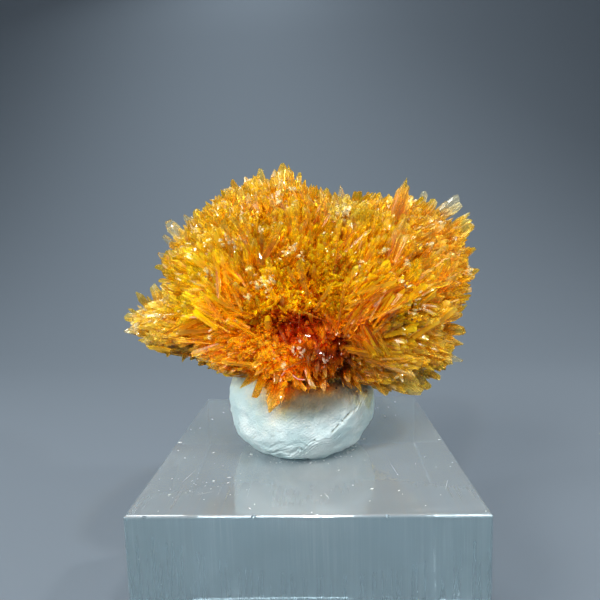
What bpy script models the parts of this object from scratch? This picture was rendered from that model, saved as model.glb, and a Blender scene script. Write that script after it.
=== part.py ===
"""Creedite specimen: orange crystal sprays grown together, held by display putty on a clear acrylic block.

Frame: +Z up, origin at the centre of the block's underside, -Y towards the viewer. Sizes are in metres.
"""

import math
import random
from typing import NamedTuple

import bmesh
import bpy
from mathutils import Matrix, Vector

MM = 0.001
GAP = 0.3 * MM  # kept between two pieces that touch

# Driving dimensions of the block
BLOCK_SIDE = 50 * MM
BLOCK_HEIGHT = 35 * MM
BLOCK_EDGE = 0.4 * MM  # width of the polished edge

# Driving dimensions of the putty, a ball squashed between the block and the crystals
PUTTY_OFF = Vector((-1.3, 0.0, 0.0)) * MM  # its axis, from the middle of the block
PUTTY_WAIST = 7.8 * MM  # height of its widest ring above the block
PUTTY_WIDE = 13.3 * MM  # half its width there
PUTTY_TALL = 8.6 * MM  # half its height, before the block flattens its foot
PUTTY_FULLNESS = 2.5  # 2 would be an ellipsoid, and more is boxier
PUTTY_RINGS = 10
PUTTY_SIDES = 32

# Driving dimensions of the cluster
HEART_AT = (-1.0, 1.0, 25.0)  # the point that all the sprays lie around
ROOTED = 0.70  # the crystals stand out from this share of the way from a spray's root to its outline
PATCH = 2.9 * MM  # width of the patch that one crystal grows from
TAPER = 0.62  # width of a crystal's shoulder against its patch
CAP_SHARE = 0.24  # share of a crystal's length that is its pointed end
LONGEST_CAP = 1.6 * MM
LEAN = 0.08  # how far a crystal's point stands to one side, against its width
BLEND = 0.12  # how softly one spray's direction turns into the next one's
SHORT, LONG = 0.45, 1.04  # a crystal's length against the distance to its spray's outline
LEAST_LENGTH = 1.2 * MM
LOWEST_TIP = 9.5 * MM  # above the block
SEED = 11


class Spray(NamedTuple):
    """A fan of crystals. They point away from root and end on the ellipsoid of this centre and half axes."""

    root: Vector
    centre: Vector
    reach: Vector


class Crystal(NamedTuple):
    """A crystal that stands out from its spray, from its foot in the mass to its tip."""

    tip: Vector
    foot: Vector
    width: float


def above_block(x, y, z):
    """A place in millimetres above the middle of the block's top, as a point of the object's frame."""
    return Vector((x * MM, y * MM, BLOCK_HEIGHT + z * MM))


def spray(root, centre, reach):
    return Spray(above_block(*root), above_block(*centre), Vector(reach) * MM)


def crystal(tip, foot, width):
    return Crystal(above_block(*tip), above_block(*foot), width * MM)


SPRAYS = {
    "crown": spray((-3, 1, 22), (-5, 0, 31), (18, 18, 17.5)),
    "shoulder": spray((-5, -1, 25), (-12.5, -1, 31.5), (12.5, 15, 11.5)),
    "left_wing": spray((-12, -2, 22.5), (-19.5, -2, 23.3), (12.3, 11, 6)),
    "lower_left": spray((-4, -2, 21), (-10.5, -4, 21), (11, 12, 7)),
    "right_fan": spray((6, 0, 24), (12, 0, 30), (17, 17, 15)),
    "upper_right": spray((8, 1, 25), (17, 1, 32.5), (13, 13, 12)),
    "lower_right": spray((6, -2, 21), (13.5, -3, 19), (12.8, 12, 7.5)),
    "lower_front": spray((-1, -2, 24), (-1, -5, 19), (13, 12.5, 8)),
    "back_left": spray((-3, 3, 23), (-8, 8, 26), (17, 15, 14)),
    "back_right": spray((4, 3, 23), (9, 9, 25), (16, 14, 14)),
}

CROWN_STANDOUTS = (
    crystal((-3.4, 0, 50.9), (-3.3, 0, 42), 1.6),
    crystal((-2.4, 1, 50.5), (-1.7, 1, 42), 1.5),
    crystal((-4.7, -1, 49.7), (-4.2, 0, 42), 1.5),
    crystal((-7.4, 1, 50.2), (-7, 1, 42), 2.0),
    crystal((-10, -1, 48.5), (-8, 0, 41), 2.0),
    crystal((-12.1, -2, 47.6), (-9.4, 0, 41), 1.8),
    crystal((-13.9, 2, 47), (-10.3, 1, 40), 1.6),
    crystal((-16.5, 0, 44.8), (-10, 0, 43), 1.6),
    crystal((0.4, 0, 47.5), (-0.7, 0, 40), 1.7),
    crystal((2.1, 1, 47), (0.5, 1, 39), 1.9),
    crystal((4.2, -1, 45.8), (3, 0, 38), 2.2),
)
SHOULDER_STANDOUTS = (
    crystal((-17.9, 0, 43.3), (-13, 0, 39), 1.9),
    crystal((-19, -2, 42.5), (-15, -1, 37.5), 1.6),
    crystal((-21.4, 0, 42.3), (-17.5, 0, 36.5), 1.8),
    crystal((-23.7, -2, 41), (-19, -1, 35), 2.2),
    crystal((-22.9, -4, 37.3), (-18.5, -2, 33.5), 1.9),
    crystal((-23.9, -3, 35.8), (-21, -1, 30.5), 1.5),
    crystal((-25.6, -4, 33.4), (-19, -2, 31.5), 1.3),
    crystal((-24.8, -4, 30.4), (-19, -2, 29.5), 1.3),
)
WING_STANDOUTS = (
    crystal((-28, 0, 29.7), (-25, 0, 23.5), 2.0),
    crystal((-30.3, -2, 28.8), (-26.5, -1, 23.5), 1.8),
    crystal((-30.6, -6, 24.9), (-26, -3, 23.5), 1.8),
    crystal((-31.6, -5, 22.2), (-26, -3, 22), 2.2),
    crystal((-23.3, -8, 18.2), (-22, -4, 21.5), 1.6),
    crystal((-20.5, -9, 17.5), (-20, -5, 21), 1.8),
)
RIGHT_STANDOUTS = (
    crystal((6.7, 0, 46.4), (7.2, 0, 38), 2.0),
    crystal((9.4, -1, 44.5), (9.8, 0, 37), 1.6),
    crystal((11.8, 0, 44.3), (11.8, 0, 37), 1.9),
    crystal((13.9, 1, 45.4), (13.5, 1, 37), 1.8),
    crystal((15.6, 2, 45), (14.9, 1, 37), 1.5),
    crystal((18.1, 0, 46.6), (15, 0, 36), 2.4),
    crystal((16.1, -9, 40), (14, -5, 32), 2.2),
    crystal((21.6, 0, 44.9), (19, 0, 38), 1.7),
    crystal((22.7, -2, 43.3), (20, -1, 37.5), 1.6),
    crystal((28.2, 2, 43.9), (21, 0, 39), 2.2),
    crystal((29.3, 0, 41.2), (24, 0, 37), 1.7),
    crystal((28.7, -3, 39), (24.5, -1, 35), 1.5),
    crystal((29.8, -2, 35), (24, -1, 32.5), 2.1),
    crystal((30.3, -3, 31.3), (24, -2, 29.5), 1.6),
    crystal((28.5, -4, 27.9), (23, -2, 28), 1.7),
    crystal((27.4, -5, 25.9), (22, -3, 27), 1.9),
)
LOWER_RIGHT_STANDOUTS = (
    crystal((27.1, -5, 21.1), (21, -3, 21.5), 1.6),
    crystal((26.7, -6, 19), (21, -4, 19.7), 1.8),
    crystal((26.5, -6, 16.1), (19, -4, 17.5), 2.1),
    crystal((22.3, -8, 13.8), (17, -5, 16), 1.3),
    crystal((19.8, -9, 12.3), (15.5, -5, 16.5), 1.8),
    crystal((18.1, -10, 11.8), (11.5, -7, 16), 2.2),
)
FRONT_STANDOUTS = (
    crystal((-10.1, -14, 14.4), (-6, -9.5, 17.5), 1.9),
    crystal((-7.5, -15, 13.8), (-5.5, -9.5, 17.5), 1.8),
    crystal((-5.4, -16, 11.2), (-2.8, -10, 17.5), 1.9),
    crystal((-1.2, -15, 14.5), (-1.3, -9.5, 17.5), 1.8),
    crystal((3.1, -14.5, 13.9), (2.4, -9.5, 17.5), 1.9),
    crystal((7.4, -13, 13.7), (5, -9, 17.5), 1.8),
    crystal((8.9, -12, 13), (7, -8, 17), 1.7),
)
STANDOUTS = (
    CROWN_STANDOUTS
    + SHOULDER_STANDOUTS
    + WING_STANDOUTS
    + RIGHT_STANDOUTS
    + LOWER_RIGHT_STANDOUTS
    + FRONT_STANDOUTS
)


# Ellipsoids


def depth_in(point, centre, reach):
    """Below 1 inside the ellipsoid, 1 on it and above 1 outside."""
    offset = point - centre
    return math.sqrt(sum((offset[i] / reach[i]) ** 2 for i in range(3)))


def drawn_in(one):
    """The part of a spray's ellipsoid that is solid mass, shrunk towards its root."""
    return one.root + (one.centre - one.root) * ROOTED, one.reach * ROOTED


def ellipsoid_area(reach):
    a, b, c = reach
    power = 1.6
    mean = ((a * b) ** power + (a * c) ** power + (b * c) ** power) / 3
    return 4 * math.pi * mean ** (1 / power)


def even_directions(count, rng):
    """Unit vectors spread evenly over a ball along a spiral, each a little off its place."""
    golden_turn = math.pi * (3 - math.sqrt(5))
    wobble = 0.5 / math.sqrt(count)
    for i in range(count):
        z = 1 - (2 * i + 1) / count
        ring = math.sqrt(1 - z * z)
        turn = i * golden_turn
        off = Vector([rng.gauss(0, wobble) for _ in range(3)])
        yield (Vector((ring * math.cos(turn), ring * math.sin(turn), z)) + off).normalized()


# Meshes, objects and materials


def plain_material(name, colour, roughness, transmission=0.0):
    made = bpy.data.materials.new(name)
    made.use_nodes = True
    shader = made.node_tree.nodes["Principled BSDF"]
    shader.inputs["Base Color"].default_value = (*colour, 1.0)
    shader.inputs["Roughness"].default_value = roughness
    shader.inputs["Metallic"].default_value = 0.0
    shader.inputs["Transmission Weight"].default_value = transmission
    made.diffuse_color = (*colour, 1.0)
    return made


def object_of(name, shape, collection):
    """A new object from a bmesh, which is freed."""
    mesh = bpy.data.meshes.new(name)
    shape.to_mesh(mesh)
    shape.free()
    made = bpy.data.objects.new(name, mesh)
    collection.objects.link(made)
    return made


def as_cutter(piece):
    piece.hide_render = True
    piece.display_type = "WIRE"
    return piece


def boolean(piece, other, operation):
    change = piece.modifiers.new(operation.lower(), "BOOLEAN")
    change.operation = operation
    change.solver = "EXACT"
    change.use_self = operation == "UNION"
    change.object = other


def baked_shape(piece):
    """The piece with its modifiers, as triangles."""
    bpy.context.view_layer.update()
    evaluated = piece.evaluated_get(bpy.context.evaluated_depsgraph_get())
    shape = bmesh.new()
    shape.from_mesh(bpy.data.meshes.new_from_object(evaluated))
    bmesh.ops.triangulate(shape, faces=list(shape.faces))
    return shape


def keep_largest_shell(shape):
    """Drops the sealed pockets between crystals and any crumb that a cut leaves loose."""
    unseen = set(shape.verts)
    shells = []
    while unseen:
        shell = set()
        edge_of_search = [next(iter(unseen))]
        while edge_of_search:
            vertex = edge_of_search.pop()
            if vertex not in unseen:
                continue
            unseen.discard(vertex)
            shell.add(vertex)
            edge_of_search.extend(edge.other_vert(vertex) for edge in vertex.link_edges)
        shells.append(shell)
    shells.sort(key=len)
    loose = [vertex for shell in shells[:-1] for vertex in shell]
    bmesh.ops.delete(shape, geom=loose, context="VERTS")
    return shape


# The acrylic block


def acrylic_block(collection):
    shape = bmesh.new()
    middle = Matrix.Translation((0, 0, BLOCK_HEIGHT / 2))
    size = Matrix.Diagonal((BLOCK_SIDE, BLOCK_SIDE, BLOCK_HEIGHT, 1))
    bmesh.ops.create_cube(shape, size=1.0, matrix=middle @ size)
    block = object_of("acrylic_block", shape, collection)
    polished = block.modifiers.new("polished_edges", "BEVEL")
    polished.width = BLOCK_EDGE
    polished.segments = 1
    block.data.materials.append(plain_material("clear_acrylic", (0.86, 0.91, 0.93), 0.05, 0.9))
    return block


# The putty


def putty_ball(name, collection, foot_height, grown=0.0):
    """The squashed ball as a turned profile, cut flat at foot_height above the block and grown all round."""
    wide = PUTTY_WIDE + grown
    tall = PUTTY_TALL + grown
    foot_angle = math.asin(max(-1.0, (foot_height - PUTTY_WAIST) / tall))
    outline = []
    for i in range(PUTTY_RINGS + 1):
        angle = math.pi / 2 + (foot_angle - math.pi / 2) * i / PUTTY_RINGS
        height = tall * math.sin(angle)
        ring = wide * (1 - abs(height / tall) ** PUTTY_FULLNESS) ** (1 / PUTTY_FULLNESS)
        outline.append((ring, PUTTY_WAIST + height))
    outline.append((0.0, outline[-1][1]))
    shape = bmesh.new()
    points = [shape.verts.new((ring, 0, height)) for ring, height in outline]
    for above, below in zip(points, points[1:]):
        shape.edges.new((above, below))
    ball = object_of(name, shape, collection)
    ball.location = Vector((0, 0, BLOCK_HEIGHT)) + PUTTY_OFF
    turned = ball.modifiers.new("turned", "SCREW")
    turned.steps = PUTTY_SIDES
    turned.render_steps = PUTTY_SIDES
    turned.use_merge_vertices = True
    turned.merge_threshold = 0.00001
    return ball


def display_putty(collection):
    ball = putty_ball("display_putty", collection, foot_height=GAP)
    ball.data.materials.append(plain_material("pale_putty", (0.78, 0.84, 0.78), 0.8))
    return ball


# The crystal cluster


def in_putty(point, clearance=0.0):
    """Whether a point lies in the putty or nearer to it than the clearance."""
    offset = point - Vector((0, 0, BLOCK_HEIGHT + PUTTY_WAIST)) - PUTTY_OFF
    ring = math.hypot(offset.x, offset.y) / (PUTTY_WIDE + clearance)
    height = abs(offset.z) / (PUTTY_TALL + clearance)
    return ring**PUTTY_FULLNESS + height**PUTTY_FULLNESS < 1


def mass_points(rng):
    """Points spread evenly over the outside of the joined solid mass of all the sprays."""
    masses = [drawn_in(one) for one in SPRAYS.values()]
    points = []
    for own, (centre, reach) in enumerate(masses):
        others = masses[:own] + masses[own + 1 :]
        for direction in even_directions(int(ellipsoid_area(reach) / PATCH**2), rng):
            point = centre + direction * reach
            outside = all(depth_in(point, *other) > 1 for other in others)
            if outside and all((point - kept).length > PATCH / 2 for kept in points):
                points.append(point)
    return points


def mass_shape(points):
    """A closed skin through the points: they are joined as they lie around the heart, then put in place."""
    heart = above_block(*HEART_AT)
    shape = bmesh.new()
    place = {}
    for point in points:
        place[shape.verts.new((point - heart).normalized())] = point
    bmesh.ops.convex_hull(shape, input=list(shape.verts))
    for vertex, point in place.items():
        vertex.co = point
    bmesh.ops.recalc_face_normals(shape, faces=list(shape.faces))
    return shape


def way_out(point):
    """Direction in which crystals grow at a point: away from the roots of the sprays around it."""
    away = Vector()
    for one in SPRAYS.values():
        outside = max(0.0, depth_in(point, *drawn_in(one)) - 1)
        away += (point - one.root).normalized() * math.exp(-outside / BLEND)
    return away.normalized()


def room_to_grow(point, way):
    """Distance from a point of the mass to the outline of the sprays, straight out."""
    step = 0.25 * MM
    length = 0.0
    while any(depth_in(point + way * (length + step), one.centre, one.reach) < 1 for one in SPRAYS.values()):
        length += step
    return length


def crystal_length(centre, way, rng):
    """Length of the crystal that grows there, or 0 where the putty or the block leaves it no room."""
    length = room_to_grow(centre, way) * rng.uniform(SHORT, LONG)
    while length > LEAST_LENGTH:
        tip = centre + way * length
        if tip.z > BLOCK_HEIGHT + LOWEST_TIP and not in_putty(tip, 1 * MM):
            break
        length *= 0.8
    if length < LEAST_LENGTH or in_putty(centre, 1 * MM):
        return 0.0
    return length


def grow_crystals(shape, rng):
    """Pairs the skin's triangles into four-sided patches and draws a pointed crystal out of each."""
    bmesh.ops.join_triangles(
        shape,
        faces=list(shape.faces),
        angle_face_threshold=math.radians(50),
        angle_shape_threshold=math.radians(60),
    )
    planned = []
    for patch in shape.faces:
        centre = patch.calc_center_median()
        length = crystal_length(centre, way_out(centre), rng)
        if length:
            planned.append((patch, length))
    ends = bmesh.ops.extrude_discrete_faces(shape, faces=[patch for patch, _ in planned])["faces"]
    for end, (_, length) in zip(ends, planned):
        centre = end.calc_center_median()
        way = way_out(centre)
        width = math.sqrt(end.calc_area())
        cap = min(length * CAP_SHARE, LONGEST_CAP)
        lean = Vector([rng.gauss(0, LEAN) for _ in range(3)]) * width
        shoulder = centre + way * (length - cap)
        for corner in end.verts:
            drawn = corner.co + way_out(corner.co) * (length - cap)
            corner.co = shoulder + (drawn - shoulder) * TAPER + lean
        point = bmesh.ops.poke(shape, faces=[end])["verts"][0]
        point.co = centre + way * length + lean * 1.3
    bmesh.ops.triangulate(shape, faces=list(shape.faces))


def standing_crystal(shape, one, rng):
    """Adds a long four-sided crystal with a pointed end, from its foot to its tip."""
    along = one.tip - one.foot
    cap = min(along.length * CAP_SHARE, one.width)
    place = Matrix.Translation(one.foot) @ along.to_track_quat("Z", "Y").to_matrix().to_4x4()
    turn = Matrix.Rotation(rng.uniform(0, math.pi), 4, "Z")
    flatten = Matrix.Diagonal((1, rng.uniform(0.7, 0.9), 1, 1))
    rise = Matrix.Translation((0, 0, (along.length - cap) / 2))
    prism = bmesh.ops.create_cone(
        shape,
        cap_ends=True,
        segments=4,
        radius1=one.width / math.sqrt(2),
        radius2=one.width * 0.9 / math.sqrt(2),
        depth=along.length - cap,
        matrix=place @ turn @ flatten @ rise,
    )["verts"]
    far_end = max((f for v in prism for f in v.link_faces), key=lambda f: f.calc_center_median().dot(along))
    point = bmesh.ops.poke(shape, faces=[far_end])["verts"][0]
    point.co = one.tip


def creedite_cluster(collection, cutters):
    rng = random.Random(SEED)
    mass = mass_shape(mass_points(rng))
    grow_crystals(mass, rng)
    crystals = bmesh.new()
    for one in STANDOUTS:
        standing_crystal(crystals, one, rng)
    crystal_cutter = as_cutter(object_of("crystals", crystals, cutters))
    socket = as_cutter(putty_ball("putty_socket", cutters, foot_height=-GAP, grown=GAP))
    joined = as_cutter(object_of("mass", mass, cutters))
    boolean(joined, crystal_cutter, "UNION")
    boolean(joined, socket, "DIFFERENCE")
    cluster = object_of("creedite_cluster", keep_largest_shell(baked_shape(joined)), collection)
    cluster.data.materials.append(plain_material("creedite", (0.75, 0.30, 0.03), 0.15, 0.5))
    return cluster


def new_collection(name):
    made = bpy.data.collections.new(name)
    bpy.context.scene.collection.children.link(made)
    return made


def main():
    for old in list(bpy.data.objects):
        bpy.data.objects.remove(old, do_unlink=True)
    specimen = new_collection("creedite_specimen")
    cutters = new_collection("cutters")
    acrylic_block(specimen)
    display_putty(specimen)
    creedite_cluster(specimen, cutters)


main()
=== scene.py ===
# %% [markdown]
# # A creedite specimen on a clear block
# Creedite grows as balls and fans of thin, glassy, orange crystals. This one is about 6 cm wide. It is
# pressed into a ball of pale putty, and the putty stands on a clear acrylic block.
#
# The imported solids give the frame: every piece below is built in metres, in the same axes, around them.

# %% Load the frame
import math

import bmesh
import bpy
import numpy as np
from mathutils import Matrix, Vector


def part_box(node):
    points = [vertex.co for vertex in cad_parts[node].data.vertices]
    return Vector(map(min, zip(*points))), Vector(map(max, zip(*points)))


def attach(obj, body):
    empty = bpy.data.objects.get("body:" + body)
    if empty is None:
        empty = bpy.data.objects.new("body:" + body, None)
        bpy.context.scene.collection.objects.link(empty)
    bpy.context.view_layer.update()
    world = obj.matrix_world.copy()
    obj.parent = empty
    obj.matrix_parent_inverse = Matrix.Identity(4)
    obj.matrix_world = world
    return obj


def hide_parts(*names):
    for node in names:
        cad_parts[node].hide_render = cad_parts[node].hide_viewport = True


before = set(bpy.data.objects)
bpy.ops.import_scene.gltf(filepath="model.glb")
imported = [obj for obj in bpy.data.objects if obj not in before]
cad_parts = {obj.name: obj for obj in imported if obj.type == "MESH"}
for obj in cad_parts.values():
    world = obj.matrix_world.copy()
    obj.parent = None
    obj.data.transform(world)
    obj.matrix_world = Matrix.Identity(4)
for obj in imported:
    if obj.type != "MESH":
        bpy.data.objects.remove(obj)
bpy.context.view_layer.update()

MM = 0.001
block_low, block_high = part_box("acrylic_block")
cluster_low, cluster_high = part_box("creedite_cluster")
BLOCK_TOP = block_high.z
print("block top at", round(BLOCK_TOP / MM, 2), "mm, cluster", cluster_low[:], cluster_high[:])

# %% [markdown]
# ## The camera
# The block's corners in the picture fix the camera: it stands 83 mm in front of the block's middle and
# 36 mm above its top, and looks 6 degrees down. A focal length of 460 pixels in a picture 600 pixels
# wide is a 27.6 mm lens on a 36 mm sensor.

# %% Camera
PICTURE_SIDE = 600
FOCAL_PIXELS = 460
SENSOR = 36
CAMERA_PLACE = Vector((2.25, -83.25, 70.6)) * MM
CAMERA_RIGHT = Vector((0.999, 0.0347, -0.0269))
CAMERA_UP = Vector((0.0229, 0.1099, 0.9937))
CAMERA_AHEAD = Vector((-0.0375, 0.9933, -0.109))


def new_object(name, data):
    """An object with this mesh, lamp or camera, put in the scene."""
    made = bpy.data.objects.new(name, data)
    bpy.context.scene.collection.objects.link(made)
    return made


camera = new_object("camera", bpy.data.cameras.new("camera"))
turn = Matrix((CAMERA_RIGHT, CAMERA_UP, -CAMERA_AHEAD)).transposed().to_4x4()
camera.matrix_world = Matrix.Translation(CAMERA_PLACE) @ turn
camera.data.sensor_width = SENSOR
camera.data.lens = FOCAL_PIXELS / PICTURE_SIDE * SENSOR
camera.data.clip_start = 1 * MM
camera.data.clip_end = 10
bpy.context.scene.camera = camera
print("lens", round(camera.data.lens, 2), "mm")

# %% [markdown]
# ## Small helpers for shader nodes
# A material is a tree of nodes. `add` makes one node and fills its inputs, either with a plain value or
# with another node's output. `mixed` blends two colours, and `new_group` starts a node group with named
# sockets, so that an effect is built once and used in several materials. The last helpers give what most
# finishes start from: the shaded point in millimetres, a mesh attribute, and plain noise.


# %% Node helpers
def fill(tree, target, inputs):
    """Sets each named input of a node to a plain value, or links it to another node's output."""
    for key, value in inputs.items():
        if isinstance(value, bpy.types.NodeSocket):
            tree.links.new(value, target.inputs[key])
        else:
            target.inputs[key].default_value = value
    return target


def add(tree, kind, inputs=None, **settings):
    made = tree.nodes.new("ShaderNode" + kind)
    for name, value in settings.items():
        setattr(made, name, value)
    return fill(tree, made, inputs or {})


def mixed(tree, factor, first, second, blend="MIX"):
    """The output of a colour mix. Colours are (red, green, blue) or sockets."""
    made = tree.nodes.new("ShaderNodeMix")
    made.data_type = "RGBA"
    made.blend_type = blend
    made.clamp_factor = True
    as_inputs = {0: factor, 6: first, 7: second}
    fill(tree, made, {k: (*v, 1.0) if isinstance(v, tuple) else v for k, v in as_inputs.items()})
    return made.outputs[2]


def maths(tree, operation, first, second=0.0, clamp=False):
    made = add(tree, "Math", {0: first, 1: second}, operation=operation)
    made.use_clamp = clamp
    return made.outputs[0]


def ranged(tree, value, low, high, out_low=0.0, out_high=1.0, smooth=True):
    """Maps a value from low..high to out_low..out_high, softly or straight."""
    kind = "SMOOTHSTEP" if smooth else "LINEAR"
    ends = {"Value": value, "From Min": low, "From Max": high, "To Min": out_low, "To Max": out_high}
    return add(tree, "MapRange", ends, interpolation_type=kind).outputs[0]


def new_group(name, takes, gives):
    """A node group with named sockets. takes is {name: default}, gives is {name: socket type}."""
    group = bpy.data.node_groups.new(name, "ShaderNodeTree")
    kinds = {float: "NodeSocketFloat", tuple: "NodeSocketVector"}
    for socket, default in takes.items():
        made = group.interface.new_socket(socket, in_out="INPUT", socket_type=kinds[type(default)])
        made.default_value = default
    for socket, kind in gives.items():
        group.interface.new_socket(socket, in_out="OUTPUT", socket_type=kind)
    return group, group.nodes.new("NodeGroupInput"), group.nodes.new("NodeGroupOutput")


def use_group(tree, group, inputs):
    placed = tree.nodes.new("ShaderNodeGroup")
    placed.node_tree = group
    return fill(tree, placed, inputs)


def new_material(name, **shader_values):
    """A material with one Principled shader, whose sockets take these plain values."""
    made = bpy.data.materials.new(name)
    made.use_nodes = True
    shader = made.node_tree.nodes["Principled BSDF"]
    fill(made.node_tree, shader, {k.replace("_", " "): v for k, v in shader_values.items()})
    return made, made.node_tree, shader


def moved(tree, point, by):
    return add(tree, "VectorMath", {0: point, 1: by}, operation="ADD").outputs[0]


def point_in_mm(tree):
    place = add(tree, "TexCoord").outputs["Object"]
    return add(tree, "VectorMath", {0: place, "Scale": 1 / MM}, operation="SCALE").outputs[0]


def point_above_block(tree):
    """The shaded point in millimetres above the middle of the block's top."""
    return moved(tree, point_in_mm(tree), (0, 0, -BLOCK_TOP / MM))


def attribute(tree, name, output="Fac"):
    return add(tree, "Attribute", attribute_name=name).outputs[output]


def noise(tree, point, scale, detail, output="Fac"):
    return add(tree, "TexNoise", {"Vector": point, "Scale": scale, "Detail": detail}).outputs[output]


# %% [markdown]
# ## Groups that several finishes share
# `soft_patch` is an egg-shaped region with a soft edge. The crystals use it to turn from gold to deep orange,
# the putty to take a painted shadow and a painted orange glow under them, and the acrylic a painted
# reflection.
#
# `long_streaks` draws noise out along one axis: growth lines on the crystals, and the marks that a mill
# leaves on acrylic.
#
# `specks` scatters small soft dots, for dust and grit.

# %% Shared groups
soft_patch, patch_in, patch_out = new_group(
    "soft_patch",
    {"Point": (0.0, 0.0, 0.0), "Centre": (0.0, 0.0, 0.0), "Reach": (1.0, 1.0, 1.0), "Edge": 0.5},
    {"Mask": "NodeSocketFloat"},
)
ends = {0: patch_in.outputs["Point"], 1: patch_in.outputs["Centre"]}
offset = add(soft_patch, "VectorMath", ends, operation="SUBTRACT")
ends = {0: offset.outputs[0], 1: patch_in.outputs["Reach"]}
share = add(soft_patch, "VectorMath", ends, operation="DIVIDE")
distance = add(soft_patch, "VectorMath", {0: share.outputs[0]}, operation="LENGTH").outputs["Value"]
inner = maths(soft_patch, "SUBTRACT", 1.0, patch_in.outputs["Edge"])
outer = maths(soft_patch, "ADD", 1.0, patch_in.outputs["Edge"])
mask = ranged(soft_patch, distance, inner, outer, 1.0, 0.0)
soft_patch.links.new(mask, patch_out.inputs["Mask"])

long_streaks, streaks_in, streaks_out = new_group(
    "long_streaks",
    {"Point": (0.0, 0.0, 0.0), "Squeeze": (1.0, 1.0, 0.1), "Scale": 3.0, "Detail": 2.0},
    {"Height": "NodeSocketFloat"},
)
ends = {0: streaks_in.outputs["Point"], 1: streaks_in.outputs["Squeeze"]}
squeezed = add(long_streaks, "VectorMath", ends, operation="MULTIPLY").outputs[0]
streaks = noise(long_streaks, squeezed, streaks_in.outputs["Scale"], streaks_in.outputs["Detail"])
long_streaks.links.new(streaks, streaks_out.inputs["Height"])

specks, specks_in, specks_out = new_group(
    "specks",
    {"Point": (0.0, 0.0, 0.0), "Scale": 1.0, "Size": 0.1},
    {"Mask": "NodeSocketFloat"},
)
cells = add(specks, "TexVoronoi", {"Vector": specks_in.outputs["Point"], "Scale": specks_in.outputs["Scale"]})
speck = ranged(specks, cells.outputs["Distance"], specks_in.outputs["Size"], 0.0, 0.0, 1.0)
specks.links.new(speck, specks_out.inputs["Mask"])
print("groups:", [group.name for group in bpy.data.node_groups])


def patch_mask(tree, point, centre, reach, edge):
    inputs = {"Point": point, "Centre": centre, "Reach": reach, "Edge": edge}
    return use_group(tree, soft_patch, inputs).outputs["Mask"]


def with_patches(tree, colour, point, rows):
    """The colour with soft patches of other shades over it."""
    for centre, reach, edge, shade, strength in rows:
        mask = patch_mask(tree, point, centre, reach, edge)
        colour = mixed(tree, maths(tree, "MULTIPLY", mask, strength), colour, shade)
    return colour


def streak_height(tree, point, squeeze, scale, detail):
    inputs = {"Point": point, "Squeeze": squeeze, "Scale": scale, "Detail": detail}
    return use_group(tree, long_streaks, inputs).outputs["Height"]

# %% [markdown]
# ## The sprays
# The cluster is ten sprays grown together. Crystals point away from a spray's root and end on an
# ellipsoid. Their numbers are the same as in the solids' source: millimetres above the middle of the
# block's top. The crystals that stand out of the sprays each have a place of their own. Most are the same
# as in that source too. Some were added here, and one was moved.

# %% Sprays and the crystals that stand out
SPRAYS = {
    # name: (root, centre, reach, width of its crystals)
    "crown": ((-3, 1, 22), (-5, 0, 31), (18, 18, 17.5), 1.1),
    "shoulder": ((-5, -1, 25), (-12.5, -1, 31.5), (12.5, 15, 11.5), 1.15),
    "left_wing": ((-12, -2, 22.5), (-19.5, -2, 23.3), (12.3, 11, 6), 1.0),
    "lower_left": ((-4, -2, 21), (-10.5, -4, 21), (11, 12, 7), 1.05),
    "right_fan": ((6, 0, 24), (12, 0, 30), (17, 17, 15), 1.0),
    "upper_right": ((8, 1, 25), (17, 1, 32.5), (13, 13, 12), 0.95),
    "lower_right": ((6, -2, 21), (13.5, -3, 19), (12.8, 12, 7.5), 0.95),
    "lower_front": ((-1, -2, 24), (-1, -5, 19), (13, 12.5, 8), 1.15),
    "back_left": ((-3, 3, 23), (-8, 8, 26), (17, 15, 14), 1.15),
    "back_right": ((4, 3, 23), (9, 9, 25), (16, 14, 14), 1.15),
}
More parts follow.
